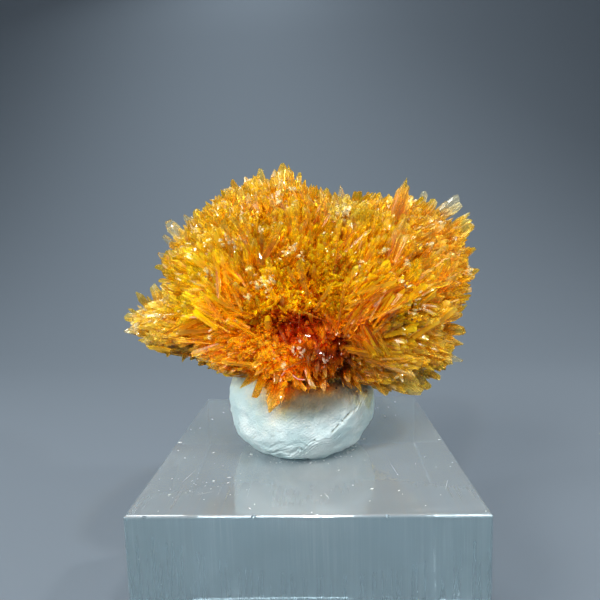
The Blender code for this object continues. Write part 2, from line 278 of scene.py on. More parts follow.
# Rows of (tip, foot, width)
STANDOUTS = {
    "crown_points": (
        ((-3.4, 0, 50.9), (-3.3, 0, 42), 1.6),
        ((-2.4, 1, 50.5), (-1.7, 1, 42), 1.5),
        ((-4.7, -1, 49.7), (-4.2, 0, 42), 1.5),
        ((-7.4, 1, 50.2), (-7, 1, 42), 2.0),
        ((-10, -1, 48.5), (-8, 0, 41), 2.0),
        ((-12.1, -2, 47.6), (-9.4, 0, 41), 1.8),
        ((-13.9, 2, 47), (-10.3, 1, 40), 1.6),
        ((-16.5, 0, 44.8), (-10, 0, 43), 1.6),
        ((0.4, 0, 47.5), (-0.7, 0, 40), 1.7),
        ((2.1, 1, 47), (0.5, 1, 39), 1.9),
        ((4.2, -1, 45.8), (3, 0, 38), 2.2),
    ),
    "shoulder_points": (
        ((-17.9, 0, 43.3), (-13, 0, 39), 1.9),
        ((-19, -2, 42.5), (-15, -1, 37.5), 1.6),
        ((-22.9, -4, 37.3), (-18.5, -2, 33.5), 1.9),
        ((-23.9, -3, 35.8), (-21, -1, 30.5), 1.5),
        ((-25.6, -4, 33.4), (-19, -2, 31.5), 1.3),
    ),
    "wing_points": (
        ((-28, 0, 29.7), (-25, 0, 23.5), 2.0),
        ((-30.3, -2, 28.8), (-26.5, -1, 23.5), 1.8),
        ((-30.6, -6, 24.9), (-26, -3, 23.5), 1.8),
        ((-23.3, -8, 18.2), (-22, -4, 21.5), 1.6),
        ((-20.5, -9, 17.5), (-20, -5, 21), 1.8),
    ),
    "right_points": (
        ((9.4, -1, 44.5), (9.8, 0, 37), 1.6),
        ((11.8, 0, 44.3), (11.8, 0, 37), 1.9),
        ((13.9, 1, 45.4), (13.5, 1, 37), 1.8),
        ((15.6, 2, 45), (14.9, 1, 37), 1.5),
        ((17.9, -3.0, 46.4), (13.2, -11.5, 36.8), 2.7),
        ((15.8, -12.6, 40.0), (13.1, -15.6, 33.2), 2.4),
        ((16.1, -9, 40), (14, -5, 32), 2.2),
        ((22.7, -2, 43.3), (20, -1, 37.5), 1.6),
        ((29.3, 0, 41.2), (24, 0, 37), 1.7),
        ((28.7, -3, 39), (24.5, -1, 35), 1.5),
        ((29.8, -2, 35), (24, -1, 32.5), 2.1),
        ((30.3, -3, 31.3), (24, -2, 29.5), 1.6),
        ((28.5, -4, 27.9), (23, -2, 28), 1.7),
        ((27.4, -5, 25.9), (22, -3, 27), 1.9),
    ),
    "lower_right_points": (
        ((27.1, -5, 21.1), (21, -3, 21.5), 1.6),
        ((26.7, -6, 19), (21, -4, 19.7), 1.8),
        ((22.3, -8, 13.8), (17, -5, 16), 1.3),
        ((19.8, -9, 12.3), (15.5, -5, 16.5), 1.8),
    ),
    "front_points": (
        ((-10.1, -14, 14.4), (-6, -9.5, 17.5), 1.9),
        ((-7.5, -15, 13.8), (-5.5, -9.5, 17.5), 1.8),
        ((-5.4, -16, 11.2), (-2.8, -10, 17.5), 1.9),
        ((-1.2, -15, 14.5), (-1.3, -9.5, 17.5), 1.8),
        ((3.1, -14.5, 13.9), (2.4, -9.5, 17.5), 1.9),
        ((7.4, -13, 13.7), (5, -9, 17.5), 1.8),
        ((8.9, -12, 13), (7, -8, 17), 1.7),
    ),
    "lower_blades": (
        ((18.1, -10, 11.8), (11.5, -7, 16), 2.2),
        ((19.4, -9.6, 13.4), (13, -7.5, 16), 2.3),
        ((15.9, -11.6, 12.6), (10.5, -8, 16), 2.0),
        ((16.6, -12.6, 15.4), (12, -9, 18.6), 2.5),
        ((17.5, -13.0, 14.6), (12, -9.5, 18.0), 2.8),
        ((14.9, -13.2, 15.6), (11.2, -10, 19), 2.6),
        ((19.8, -11.6, 17.6), (14, -9, 19.5), 2.4),
    ),
    "clear_points": (
        ((-21.4, 0, 42.3), (-17.5, 0, 36.5), 1.8),
        ((-23.7, -2, 41), (-19, -1, 35), 2.2),
        ((-24.4, -3, 38.6), (-20, -1, 34), 1.8),
        ((-22.5, -4, 40.4), (-18.5, -2, 36), 1.6),
        ((-25.2, -3.5, 35.6), (-20.5, -2, 32), 1.5),
        ((-20.0, -5, 41.4), (-17, -3, 37), 1.5),
        ((-24.8, -4, 30.4), (-19, -2, 29.5), 1.3),
        ((-31.6, -5, 22.2), (-26, -3, 22), 2.2),
        ((6.7, 0, 46.4), (7.2, 0, 38), 2.0),
        ((5.9, -1.5, 44.2), (6.6, -1, 38), 1.4),
        ((7.9, -1.2, 43.6), (7.6, -1, 38), 1.5),
        ((21.6, 0, 44.9), (19, 0, 38), 1.7),
        ((28.2, 2, 43.9), (21, 0, 39), 2.2),
        ((26.5, -6, 16.1), (19, -4, 17.5), 2.1),
    ),
}
roots = np.array([row[0] for row in SPRAYS.values()], float)
centres = np.array([row[1] for row in SPRAYS.values()], float)
reaches = np.array([row[2] for row in SPRAYS.values()], float)
crystal_widths = [row[3] for row in SPRAYS.values()]
print(len(SPRAYS), "sprays,", sum(map(len, STANDOUTS.values())), "crystals that stand out")

# %% [markdown]
# ## Planning the fine crystals
# A ball of crystals isn't a pincushion: it is made of small bundles, and the crystals of a bundle spread
# from a point of their own below the surface. So seeds are spread evenly over each spray's ellipsoid,
# a coarser set of points marks the bundles, and each seed grows away from the root of its nearest
# bundle. Seeds that another spray covers are dropped.

# %% Seeds, bundles and directions
SEED_SPACING = 0.60  # distance between crystals, against their width
BUNDLE_SPACING = 3.6
BUNDLE_ROOT = (6.0, 11.0)  # how far below the surface a bundle's crystals meet
BUNDLE_LEAN = 0.16  # how far a bundle turns from the spray's own direction
CRYSTAL_LEAN = 0.11
SOFTNESS = 0.12  # how softly one spray's direction turns into the next one's
MASS_SHARE = 0.70  # the solid middle of a spray, against its reach
FAN_MIDDLE = np.array((-2.0, 25.0))  # x and z of the place where crystals point most to front or back
FAN_START, FAN_REACH = 4.0, 13.0  # past the start they turn, until after the reach they lie along the fan
FACING, ALONG = 1.5, 0.26  # what their turn to front or back is multiplied by, at the middle and further out


def depth_in(points, centre, reach):
    """Below 1 inside the ellipsoid, and above 1 outside it."""
    return np.linalg.norm((points - centre) / reach, axis=-1)


def unit(vectors):
    return vectors / np.linalg.norm(vectors, axis=-1, keepdims=True)


def even_directions(count, rng, wobble=0.4):
    """Unit vectors spread evenly over a ball along a spiral, each a little off its place."""
    steps = np.arange(count)
    z = 1 - (2 * steps + 1) / count
    ring = np.sqrt(1 - z * z)
    turns = steps * math.pi * (3 - math.sqrt(5))
    spread = np.stack([ring * np.cos(turns), ring * np.sin(turns), z], 1)
    return unit(spread + rng.normal(0, wobble / math.sqrt(count), spread.shape))


def ellipsoid_area(reach):
    """Close to the true area, by a well-known formula."""
    a, b, c = reach
    power = 1.6
    mean = ((a * b) ** power + (a * c) ** power + (b * c) ** power) / 3
    return 4 * math.pi * mean ** (1 / power)


def way_out(points):
    """Directions in which crystals grow: away from the roots of the sprays around each point."""
    away = np.zeros_like(points)
    for root, centre, reach in zip(roots, centres, reaches):
        middle = root + (centre - root) * MASS_SHARE
        outside = np.maximum(0, depth_in(points, middle, reach * MASS_SHARE) - 1)
        away += unit(points - root) * np.exp(-outside / SOFTNESS)[:, None]
    from_middle = np.linalg.norm(points[:, (0, 2)] - FAN_MIDDLE, axis=1)
    share = np.clip((from_middle - FAN_START) / FAN_REACH, 0, 1)
    away = unit(away)
    away[:, 1] *= FACING + (ALONG - FACING) * share
    return unit(away)


def spread_over(own, spacing, rng, clearance):
    """Points on one spray's ellipsoid that lie outside all the others by the clearance."""
    count = int(ellipsoid_area(reaches[own]) / spacing**2)
    points = centres[own] + even_directions(count, rng) * reaches[own]
    for other in range(len(roots)):
        if other != own:
            points = points[depth_in(points, centres[other], reaches[other]) > clearance]
    return points


def bundle_roots(rng):
    """The points that the crystals of each bundle spread from, and the bundle's middle on the surface."""
    tops = np.concatenate([spread_over(own, BUNDLE_SPACING, rng, 0.97) for own in range(len(roots))])
    ways = unit(way_out(tops) + rng.normal(0, BUNDLE_LEAN, tops.shape))
    depths = rng.uniform(*BUNDLE_ROOT, len(tops))[:, None]
    return tops, tops - ways * depths


# %% [markdown]
# ## One crystal
# A creedite crystal is a four-sided prism with a slanting end: some end in a point, some in a chisel
# edge, some nearly flat. Each is three rings of eight corners: four on the prism's edges, and four in the
# middle of its sides, a little in or out, so that no side is quite flat. They widen from foot to
# shoulder, as crystals in a fan do, because each fills the room that it has. Thin crystals are too small
# to show that, so their rings have the four outer corners alone.
#
# Thousands of separate objects would be slow. The rings of all the crystals are worked out at once as
# arrays, and joined into one mesh. Attributes go with them: `outness` is 0 at the foot and 1 at the tip,
# `ridge` is 1 along the edges, `tint` is a random number for each crystal, and `grain` is a place in the
# crystal's own axes, for growth lines that run along it.

# %% Building many crystals as one mesh
FULL_RING = np.array([(1, 0), (0.5, 0.5), (0, 1), (-0.5, 0.5), (-1, 0), (-0.5, -0.5), (0, -1), (0.5, -0.5)])
PLAIN_RING = FULL_RING[::2]
FOOT_TAPER = 0.6
POINTED, CHISELLED = 0.5, 0.35  # the shares of crystals that end in a point and in an edge
BLUNT_SIZE = 0.72  # the size of a nearly flat end, against the crystal's width


def wall_faces(rings, sides):
    """Four-cornered faces between each ring of corners and the next."""
    start = np.arange(rings - 1)[:, None] * sides
    here = np.arange(sides)
    after = (here + 1) % sides
    corners = [start + here, start + after, start + sides + after, start + sides + here]
    return np.stack(corners, 2).reshape(-1, 4)


def crystal_faces(sides):
    """The faces of one crystal, as rows of four corners, for rings of four or eight corners."""
    foot = [[3, 2, 1, 0]] if sides == 4 else [[3, 2, 1, 0], [7, 4, 3, 0], [7, 6, 5, 4]]
    end = [[2 * sides + i for i in reversed(face)] for face in foot]
    return np.concatenate([wall_faces(3, sides), foot, end])


def side_vectors(ways, turns):
    """Two unit vectors across each direction, turned by an angle about it."""
    helper = np.where(np.abs(ways[:, 2:3]) > 0.9, np.array([1.0, 0, 0]), np.array([0, 0, 1.0]))
    across = unit(np.cross(helper, ways))
    second = np.cross(ways, across)
    cos, sin = np.cos(turns)[:, None], np.sin(turns)[:, None]
    return across * cos + second * sin, second * cos - across * sin


def end_shapes(widths, lengths, sharp, rng):
    """For each crystal: the end ring's two sizes, the length of the slanting end and its slant."""
    count = len(widths)
    kind = rng.random(count)
    point, chisel = kind < POINTED, (kind >= POINTED) & (kind < POINTED + CHISELLED)
    small, wide = rng.uniform(0.05, 0.3, count), rng.uniform(0.5, 0.8, count)
    size_first = np.where(point, small, np.where(chisel, wide, BLUNT_SIZE))
    size_second = np.where(point, size_first, np.where(chisel, rng.uniform(0.03, 0.15, count), BLUNT_SIZE))
    cap = np.minimum(lengths * 0.4, widths * rng.uniform(0.5, 1.15, count) * sharp)
    cap = np.where(point | chisel, cap, cap * 0.35)
    slant = rng.uniform(-0.4, 0.4, (count, 2)) * widths[:, None]
    slant[~(point | chisel)] *= 1.6
    return size_first, size_second, cap, slant


def crystal_arrays(tips, feet, widths, ring, sharp, rng):
    """Corner places, an array of (crystals, corners, 3), with their outness, ridge, tint and grain."""
    count = len(tips)
    along = tips - feet
    lengths = np.linalg.norm(along, axis=1)
    ways = along / lengths[:, None]
    first, second = side_vectors(ways, rng.uniform(0, math.pi, count))
    half = widths / math.sqrt(2)
    flat = rng.uniform(0.6, 0.95, count)
    on_edge = (np.abs(ring).max(1) > 0.9).astype(float)
    bulge = np.where(on_edge, 1.0, rng.uniform(0.92, 1.18, (count, len(ring))))
    end_first, end_second, cap, slant = end_shapes(widths, lengths, sharp, rng)
    rings = (
        (np.full(count, FOOT_TAPER), np.full(count, FOOT_TAPER), np.zeros(count), 0.0),
        (np.ones(count), np.ones(count), lengths - cap, 1.0),
        (end_first, end_second, lengths, end_first),
    )
    local = []
    for size_first, size_second, height, tilt in rings:
        u = ring[None, :, 0] * bulge * (half * size_first)[:, None]
        v = ring[None, :, 1] * bulge * (half * flat * size_second)[:, None]
        rise = height[:, None] + (slant @ ring.T) * np.reshape(tilt, (-1, 1))
        local.append(np.stack([u, v, np.minimum(rise, lengths[:, None] + half[:, None] * 0.4)], 2))
    local = np.concatenate(local, 1)
    axes = np.stack([first, second, ways], 1)
    corners = feet[:, None] + np.einsum("cki,cij->ckj", local, axes)
    outness = np.clip(local[:, :, 2] / lengths[:, None], 0, 1)
    ridge = np.tile(np.concatenate([on_edge, on_edge, np.maximum(on_edge, 0.6)]), (count, 1))
    tint = np.repeat(rng.random(count)[:, None], 3 * len(ring), 1)
    grain = local + rng.uniform(-50, 50, (count, 1, 3))
    return corners, outness, ridge, tint, grain


def quad_mesh(name, corners, faces):
    """A mesh of four-cornered faces from plain arrays, which is much faster than adding them one by one."""
    mesh = bpy.data.meshes.new(name)
    mesh.vertices.add(len(corners))
    mesh.vertices.foreach_set("co", corners.astype(np.float32).ravel())
    mesh.loops.add(faces.size)
    mesh.loops.foreach_set("vertex_index", faces.astype(np.int32).ravel())
    mesh.polygons.add(len(faces))
    mesh.polygons.foreach_set("loop_start", np.arange(0, faces.size, 4, dtype=np.int32))
    mesh.update(calc_edges=True)
    mesh.shade_flat()
    return mesh


def to_metres(points):
    """Places in millimetres above the middle of the block's top, as places in the scene."""
    return (points + [0, 0, BLOCK_TOP / MM]) * MM


def crystals_piece(name, tips, feet, widths, material, rng, ring=PLAIN_RING, sharp=1.0):
    """One object of many crystals. A crystal that reaches past the solid's box is shifted back into it."""
    corners, outness, ridge, tint, grain = crystal_arrays(tips, feet, widths, ring, sharp, rng)
    corners = to_metres(corners)
    low, high = np.array(cluster_low), np.array(cluster_high)
    corners += np.minimum(high - corners.max(1), 0)[:, None] + np.maximum(low - corners.min(1), 0)[:, None]
    first_corner = np.arange(len(tips))[:, None, None] * 3 * len(ring)
    faces = (crystal_faces(len(ring))[None] + first_corner).reshape(-1, 4)
    mesh = quad_mesh(name, corners.reshape(-1, 3), faces)
    for label, kind, values in (
        ("outness", "FLOAT", outness),
        ("ridge", "FLOAT", ridge),
        ("tint", "FLOAT", tint),
        ("grain", "FLOAT_VECTOR", grain),
    ):
        made = mesh.attributes.new(label, kind, "POINT")
        field = "vector" if kind == "FLOAT_VECTOR" else "value"
        made.data.foreach_set(field, values.astype(np.float32).ravel())
    mesh.materials.append(material)
    piece = new_object(name, mesh)
    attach(piece, "root")
    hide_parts("creedite_cluster")
    print(name, len(tips), "crystals,", 2 * len(faces), "triangles")
    return piece


# %% [markdown]
# ## The finish of creedite
# The colour isn't even. The middle of the front is deep red orange, where light has to come a long way
# through the crystals, and its two darkest red patches are partly painted shade. The upper left and the lower
# right turn olive, most of the rest is gold, and the tips are pale or nearly clear. Each of those places is a
# `soft_patch`.
#
# The crystal itself is glass with colour: a plain transmission weight and an index of 1.46. A second
# shader lets light from the lamps pass into the cluster, tinted, so that it glows from inside. The glassy
# kinds are a little rough, under a sharp coat that keeps their highlights small.

# %% Creedite
PATCHES = (
    # centre and reach in millimetres above the block, edge, colour, strength
    ((-3, -3, 48), (18, 22, 9), 0.5, (0.78, 0.60, 0.007), 0.75),
    ((18, -3, 42), (12, 22, 8), 0.5, (0.73, 0.57, 0.012), 0.75),
    ((-6, -16, 27), (12, 8, 6), 0.5, (0.98, 0.84, 0.012), 0.85),
    ((2.5, -14, 19.8), (8.5, 8, 5.8), 0.5, (0.94, 0.62, 0.010), 0.9),
    # The next two rows are deep red, partly painted shade in the thick middle of the front.
    ((-1.2, -13, 23.6), (4.6, 9, 2.6), 0.5, (0.68, 0.12, 0.004), 0.92),
    ((4.5, -12, 18.8), (5.0, 8, 3.0), 0.5, (0.46, 0.06, 0.002), 0.94),
    ((-6.0, -14, 20.3), (2.6, 6, 2.0), 0.5, (0.92, 0.82, 0.16), 0.7),
    ((-26, -6, 24), (9, 10, 7), 0.5, (0.76, 0.66, 0.10), 0.9),
    ((17, -12, 19), (9, 9, 7), 0.5, (0.70, 0.58, 0.02), 0.85),
    ((-14, -10, 40), (10, 12, 8), 0.5, (0.80, 0.66, 0.03), 0.75),
    ((7, -4, 42), (2.6, 8, 4), 0.5, (0.78, 0.72, 0.22), 0.8),
    ((-15, -12, 29), (8, 9, 6), 0.5, (0.94, 0.84, 0.012), 0.85),
    ((21, -7, 37.5), (6, 9, 5), 0.5, (0.76, 0.52, 0.02), 0.75),
    ((-11, -13, 20), (7, 9, 4), 0.5, (0.92, 0.66, 0.012), 0.7),
    ((-2, -15, 14), (12, 5, 4), 0.5, (0.88, 0.60, 0.010), 0.85),
)
CLEAR, STRAW = (0.93, 0.93, 0.84), (0.98, 0.84, 0.40)


GOLDS = (0.87, 0.66, 0.009), (0.90, 0.78, 0.020)
# FOOT_SHADE and SIDE_SHADE are painted shade, on the crystals' feet and on their sides away from the edges.
# SOME_SHADE darkens some crystals at random.
FOOT_SHADE, SOME_SHADE, SIDE_SHADE = (0.88, 0.66, 0.40), (0.78, 0.58, 0.38), (0.90, 0.62, 0.35)
PALE_TIP, PAINTED_EDGE_HIGHLIGHT = (0.96, 0.84, 0.42), (0.95, 0.78, 0.16)
RIM_CENTRE, RIM_REACH = (-1.0, 0.0, 29.0), (22.0, 90.0, 15.0)  # outside this the tips are palest
WOBBLE = 9.0  # millimetres that noise moves the patches' edges


def creedite_colour(tree, pale, clear, clear_colour, edges, core):
    """Gold, then the patches, painted shade on the feet and sides, pale tips and painted highlights on the
    edges.
    """
    above = point_above_block(tree)
    wobble = moved(tree, noise(tree, above, 0.35, 2.0, "Color"), (-0.5, -0.5, -0.5))
    push = add(tree, "VectorMath", {0: wobble, "Scale": WOBBLE}, operation="SCALE").outputs[0]
    point = moved(tree, above, push)
    outness, tint, ridge = attribute(tree, "outness"), attribute(tree, "tint"), attribute(tree, "ridge")
    colour = with_patches(tree, mixed(tree, tint, *GOLDS), point, PATCHES)
    # Painted shade towards each crystal's foot.
    deep = ranged(tree, outness, 0.5, 1.0, 1.0, 0.0)
    colour = mixed(tree, deep, colour, FOOT_SHADE, blend="MULTIPLY")
    darker = ranged(tree, tint, 0.0, 0.45, min(1.0, core / 0.75), 0.0)
    colour = mixed(tree, darker, colour, SOME_SHADE, blend="MULTIPLY")
    at_rim = ranged(tree, patch_mask(tree, point, RIM_CENTRE, RIM_REACH, 0.25), 1.0, 0.0, 0.04, 0.75)
    tip = ranged(tree, outness, 0.66, 1.0, 0.0, pale)
    lot = ranged(tree, tint, 0.6, 1.0, 0.1, 1.0)
    paleness = maths(tree, "MULTIPLY", maths(tree, "MULTIPLY", tip, lot), at_rim)
    at_rim_or_lot = maths(tree, "MAXIMUM", at_rim, maths(tree, "MULTIPLY", lot, 0.4))
    colour = mixed(tree, paleness, colour, PALE_TIP)
    colour = mixed(tree, ranged(tree, ridge, 0.0, 0.8, core, 0.0), colour, SIDE_SHADE, blend="MULTIPLY")
    # A painted highlight along the crystals' edges.
    edge = maths(tree, "MULTIPLY", ranged(tree, ridge, 0.7, 1.0, 0.0, edges), at_rim_or_lot)
    colour = mixed(tree, edge, colour, PAINTED_EDGE_HIGHLIGHT)
    return mixed(tree, maths(tree, "MULTIPLY", ranged(tree, outness, 0.2, 0.8), clear), colour, clear_colour)


def creedite_material(
    name,
    transmission,
    roughness,
    pale,
    coat=0.0,
    clear=0.0,
    clear_colour=CLEAR,
    edges=0.45,
    core=0.75,
    relief=0.3,
    shine=0.35,
):
    """Coloured crystal. pale is how far the tips lose their colour, clear how far the rest does, edges how
    strong the painted highlight on the edges is, core how dark the painted shade on the sides is, and relief
    and shine the bump and the mirror's strength."""
    made, tree, shader = new_material(
        name,
        IOR=1.46,
        Transmission_Weight=transmission,
        Specular_IOR_Level=shine,
        Coat_Roughness=0.04,
    )
    colour = creedite_colour(tree, pale, clear, clear_colour, edges, core)
    lines = streak_height(tree, attribute(tree, "grain", "Vector"), (1.0, 1.0, 0.14), 4.5, 1.0)
    bump = add(tree, "Bump", {"Height": lines, "Strength": relief, "Distance": 0.05 * MM})
    polish = ranged(tree, lines, 0.3, 0.7, roughness * 0.7, roughness * 1.4)
    fill(tree, shader, {"Base Color": colour, "Roughness": polish, "Normal": bump.outputs[0]})
    if coat:
        fill(tree, shader, {"Coat Weight": ranged(tree, lines, 0.4, 0.6, coat * 0.15, coat)})
    through = add(tree, "BsdfTransparent", {"Color": mixed(tree, 0.4, colour, (1.0, 1.0, 1.0))})
    lamp_ray = add(tree, "LightPath").outputs["Is Shadow Ray"]
    mix = add(tree, "MixShader", {0: lamp_ray, 1: shader.outputs[0], 2: through.outputs[0]})
    tree.links.new(mix.outputs[0], tree.nodes["Material Output"].inputs["Surface"])
    return made


creedite = creedite_material("creedite", 0.62, 0.11, 0.9, relief=0.75, shine=0.25)
glassy_creedite = creedite_material("glassy_creedite", 0.85, 0.28, 1.0, coat=0.4)
rim_creedite = creedite_material(
    "rim_creedite", 0.84, 0.28, 1.0, coat=0.35, clear=0.22, clear_colour=STRAW, edges=0.8, core=0.25
)
blade_creedite = creedite_material("blade_creedite", 0.84, 0.28, 1.0, coat=0.28, edges=0.8, core=0.25)
pale_creedite = creedite_material("pale_creedite", 0.8, 0.28, 1.0, coat=0.6, clear=0.55)
clear_creedite = creedite_material("clear_creedite", 0.9, 0.06, 1.0, clear=0.75, core=0.4)

# %% [markdown]
# ## The fine crystals
# Each spray has a piece of crystals and a piece of thin glassy needles over them. Short thick crystals
# fill the gaps below, in one piece for all the sprays. Long blades lie along the surface in bundles, in
# another, because a spray seen from the side shows its crystals at full length. In some places many of
# the needles have no colour, and those are a piece too.
#
# The tips lie at uneven depths below the ellipsoid, and deeper between bundles. A crystal whose tip or
# upper part would be in the putty is left out, and so is one whose tip would be too low.

# %% Grow every spray
PUTTY_MIDDLE = np.array((-1.3, 0.0, 7.8))
PUTTY_WIDE, PUTTY_TALL, PUTTY_FULLNESS = 13.3, 8.6, 2.5
LOWEST_TIP = 9.5


def putty_depth(points, clearance=0.0):
    """Below 1 inside the putty ball, and above 1 outside it."""
    offset = points - PUTTY_MIDDLE
    ring = np.hypot(offset[:, 0], offset[:, 1]) / (PUTTY_WIDE + clearance)
    height = np.abs(offset[:, 2]) / (PUTTY_TALL + clearance)
    return ring**PUTTY_FULLNESS + height**PUTTY_FULLNESS


rng = np.random.default_rng(20)
bundle_tops, bundle_feet = bundle_roots(rng)
bundle_rise = rng.uniform(0.955, 1.0, len(bundle_tops))
print(len(bundle_tops), "bundles")

FINE_AT, FINE_REACH = np.array((-1.0, -16.0, 26.0)), 14.0  # crystals are thin and tangled around this place
FINE_PACKING = 0.62  # distance between crystals there, against the rest
TANGLE = 0.12  # how much more they lean there
WIDEST = 1.15  # the widest crystal, against its spray's usual width


def plan_spray(own, rng, spread, thin, back, length=(3.5, 6.5), clearance=0.95, upright=False):
    """Tips, feet and widths of one spray's crystals. spread and thin stretch their spacing and width, and
    back is the least that a tip lies below the surface, and how much more it can be."""
    width = crystal_widths[own]
    seeds = spread_over(own, SEED_SPACING * width * spread * FINE_PACKING, rng, clearance)
    fine = np.exp(-((np.linalg.norm(seeds - FINE_AT, axis=1) / FINE_REACH) ** 2))
    kept = rng.random(len(seeds)) < FINE_PACKING**2 + (1 - FINE_PACKING**2) * fine
    seeds, fine = seeds[kept], fine[kept]
    gaps = np.linalg.norm(seeds[:, None] - bundle_tops[None], axis=2)
    bundle = gaps.argmin(1)
    near = gaps.min(1)
    lean = rng.normal(0, 1, seeds.shape) * (CRYSTAL_LEAN + TANGLE * fine)[:, None]
    ways = unit(unit(seeds - (roots[own] if upright else bundle_feet[bundle])) + lean)
    drawn_back = back[0] + rng.beta(1.3, 2.2, len(seeds)) * back[1] + (near / BUNDLE_SPACING) ** 2 * 1.2
    reach = reaches[own].mean()
    tips = seeds - ways * (drawn_back + (1 - bundle_rise[bundle]) * reach)[:, None]
    lengths = rng.uniform(*length, len(seeds)) * (1 - 0.3 * fine)
    feet = tips - ways * lengths[:, None]
    widths = width * thin * np.minimum(np.exp(rng.normal(-0.34, 0.32, len(seeds))), WIDEST)
    widths *= 1 - 0.5 * fine
    free = (tips[:, 2] > LOWEST_TIP) & (putty_depth(tips, 0.6) > 1)
    free &= putty_depth(tips * 0.6 + feet * 0.4) > 1
    return tips[free], feet[free], widths[free]


BLADE_SPACING = 1.55
BLADE_LENGTH = (3.0, 8.0)
BLADE_FREE = (5.0, 11.0)  # no blades nearer to the fan's middle than the first, all of them past the second
BLADE_BUNDLES = 0.62  # share of the bundles that have blades
BLADE_LEAN, BLADE_TURN = 0.10, 0.24  # how far a blade turns on its own, and with the rest of its bundle
bundle_turns = rng.normal(0, BLADE_TURN, bundle_tops.shape)
bundle_blades = rng.random(len(bundle_tops)) < BLADE_BUNDLES


def plan_blades(own, rng):
    """Tips, feet and widths of long crystals that lie along a spray's surface, tip out and foot below it."""
    centre, reach = centres[own], reaches[own]
    seeds = spread_over(own, BLADE_SPACING, rng, 0.98)
    from_middle = np.linalg.norm(seeds[:, (0, 2)] - FAN_MIDDLE, axis=1)
    chance = (from_middle - BLADE_FREE[0]) / (BLADE_FREE[1] - BLADE_FREE[0])
    bundle = np.linalg.norm(seeds[:, None] - bundle_tops[None], axis=2).argmin(1)
    kept = (rng.random(len(seeds)) < chance) & bundle_blades[bundle]
    seeds, bundle = seeds[kept], bundle[kept]
    out = way_out(seeds) * (1, 0.4, 1) + bundle_turns[bundle] + rng.normal(0, BLADE_LEAN, seeds.shape)
    feet = seeds - unit(out) * rng.uniform(*BLADE_LENGTH, (len(seeds), 1))
    deep = rng.uniform(0.84, 0.93, len(seeds)) / depth_in(feet, centre, reach)
    feet = centre + (feet - centre) * np.minimum(deep, 1)[:, None]
    tips = seeds + unit((seeds - centre) / reach**2) * rng.uniform(-1.0, 0.35, (len(seeds), 1))
    widths = crystal_widths[own] * rng.uniform(0.45, 1.0, len(seeds))
    free = (tips[:, 2] > LOWEST_TIP) & (putty_depth(tips, 0.8) > 1) & (putty_depth(feet, 0.5) > 1)
    return tips[free], feet[free], widths[free]


CLEAR_PLACES = (
    # centre and reach of the places where many crystals have no colour, and what share of them
    ((-24, -3, 38), (6, 9, 7), 0.55),
    ((-29, -5, 24), (6, 8, 5), 0.35),
    ((6.9, -2, 44), (2.2, 6, 5), 0.6),
    ((16, -11, 14), (8, 6, 4.5), 0.35),
    ((27, -3, 41), (5, 7, 4), 0.3),
    ((-18, -8, 18.5), (7, 6, 2.5), 0.35),
    ((-8, -2, 48), (9, 6, 4), 0.3),
    ((-16, -4, 42), (7, 7, 4), 0.3),
    ((29, -3, 33), (4, 6, 8), 0.3),
    ((27, -5, 22), (4, 6, 7), 0.25),
)


def is_clear(tips, rng):
    chance = np.zeros(len(tips))
    for centre, reach, share in CLEAR_PLACES:
        chance = np.maximum(chance, share * (depth_in(tips, np.array(centre), np.array(reach)) < 1))
    return rng.random(len(tips)) < chance


def join(plans):
    """One set of tips, feet and widths from many."""
    return [np.concatenate(arrays) for arrays in zip(*plans)]


clear_needles, under, blades = [], [], []
for own, name in enumerate(SPRAYS):
    crystals = plan_spray(own, rng, spread=1.3, thin=1.0, back=(0.9, 2.4))
    crystals_piece(name + "_crystals", *crystals, creedite, rng)
    under.append(
        plan_spray(
            own, rng, spread=1.75, thin=1.5, back=(2.2, 1.4), length=(2.4, 4.0), clearance=0.86, upright=True
        )
    )
    if name != "left_wing":
        blades.append(plan_blades(own, rng))
    tips, feet, widths = plan_spray(own, rng, spread=1.36, thin=0.74, back=(0.5, 2.6), length=(5.0, 8.5))
    clear = is_clear(tips, rng)
    clear_needles.append((tips[clear], feet[clear], widths[clear] * 1.15))
    crystals_piece(name + "_needles", tips[~clear], feet[~clear], widths[~clear], glassy_creedite, rng)
crystals_piece("clear_needles", *join(clear_needles), pale_creedite, rng)
crystals_piece("under_crystals", *join(under), creedite, rng)
crystals_piece("surface_blades", *join(blades), blade_creedite, rng, FULL_RING, sharp=1.6)

# %% [markdown]
# ## The crystals that stand out
# These make the outline. Each gets six smaller companions beside it, drawn back by different amounts, as
# it would have in the stone.

# %% Standing crystals
COMPANIONS = 6
STANDOUT_WIDTH = 0.85  # against the width in the table
WIDEST_GROUP = 1.7  # companions of a wider crystal stand no further off than those of one this wide
STANDOUT_FINISH = {"clear_points": clear_creedite, "front_points": glassy_creedite}
for name, rows in STANDOUTS.items():
    tips = np.array([row[0] for row in rows], float)
    feet = np.array([row[1] for row in rows], float)
    widths = np.array([row[2] for row in rows], float) * STANDOUT_WIDTH
    group = [(tips, feet, widths)]
    ways = unit(tips - feet)
    for _ in range(COMPANIONS):
        aside = rng.normal(0, 0.7, tips.shape) * np.minimum(widths, WIDEST_GROUP)[:, None]
        aside -= (aside * ways).sum(1)[:, None] * ways
        their_tips = tips + aside - ways * rng.uniform(0.8, 4.2, len(tips))[:, None]
        group.append((their_tips, feet + aside * 0.5, widths * rng.uniform(0.35, 0.6, len(tips))))
    crystals_piece(name, *join(group), STANDOUT_FINISH.get(name, rim_creedite), rng, FULL_RING, sharp=1.7)

# %% [markdown]
# ## White sparkles
# Here and there a nest of tiny clear crystals catches the light. Each row is a place, how wide the nest
# is, and how many crystals stand in it. The place is moved along the line from the camera onto the front
# of the sprays. The crystals point out of the surface, each a little its own way, so some of their ends
# shine. Those whose feet would hang in the air are left out.

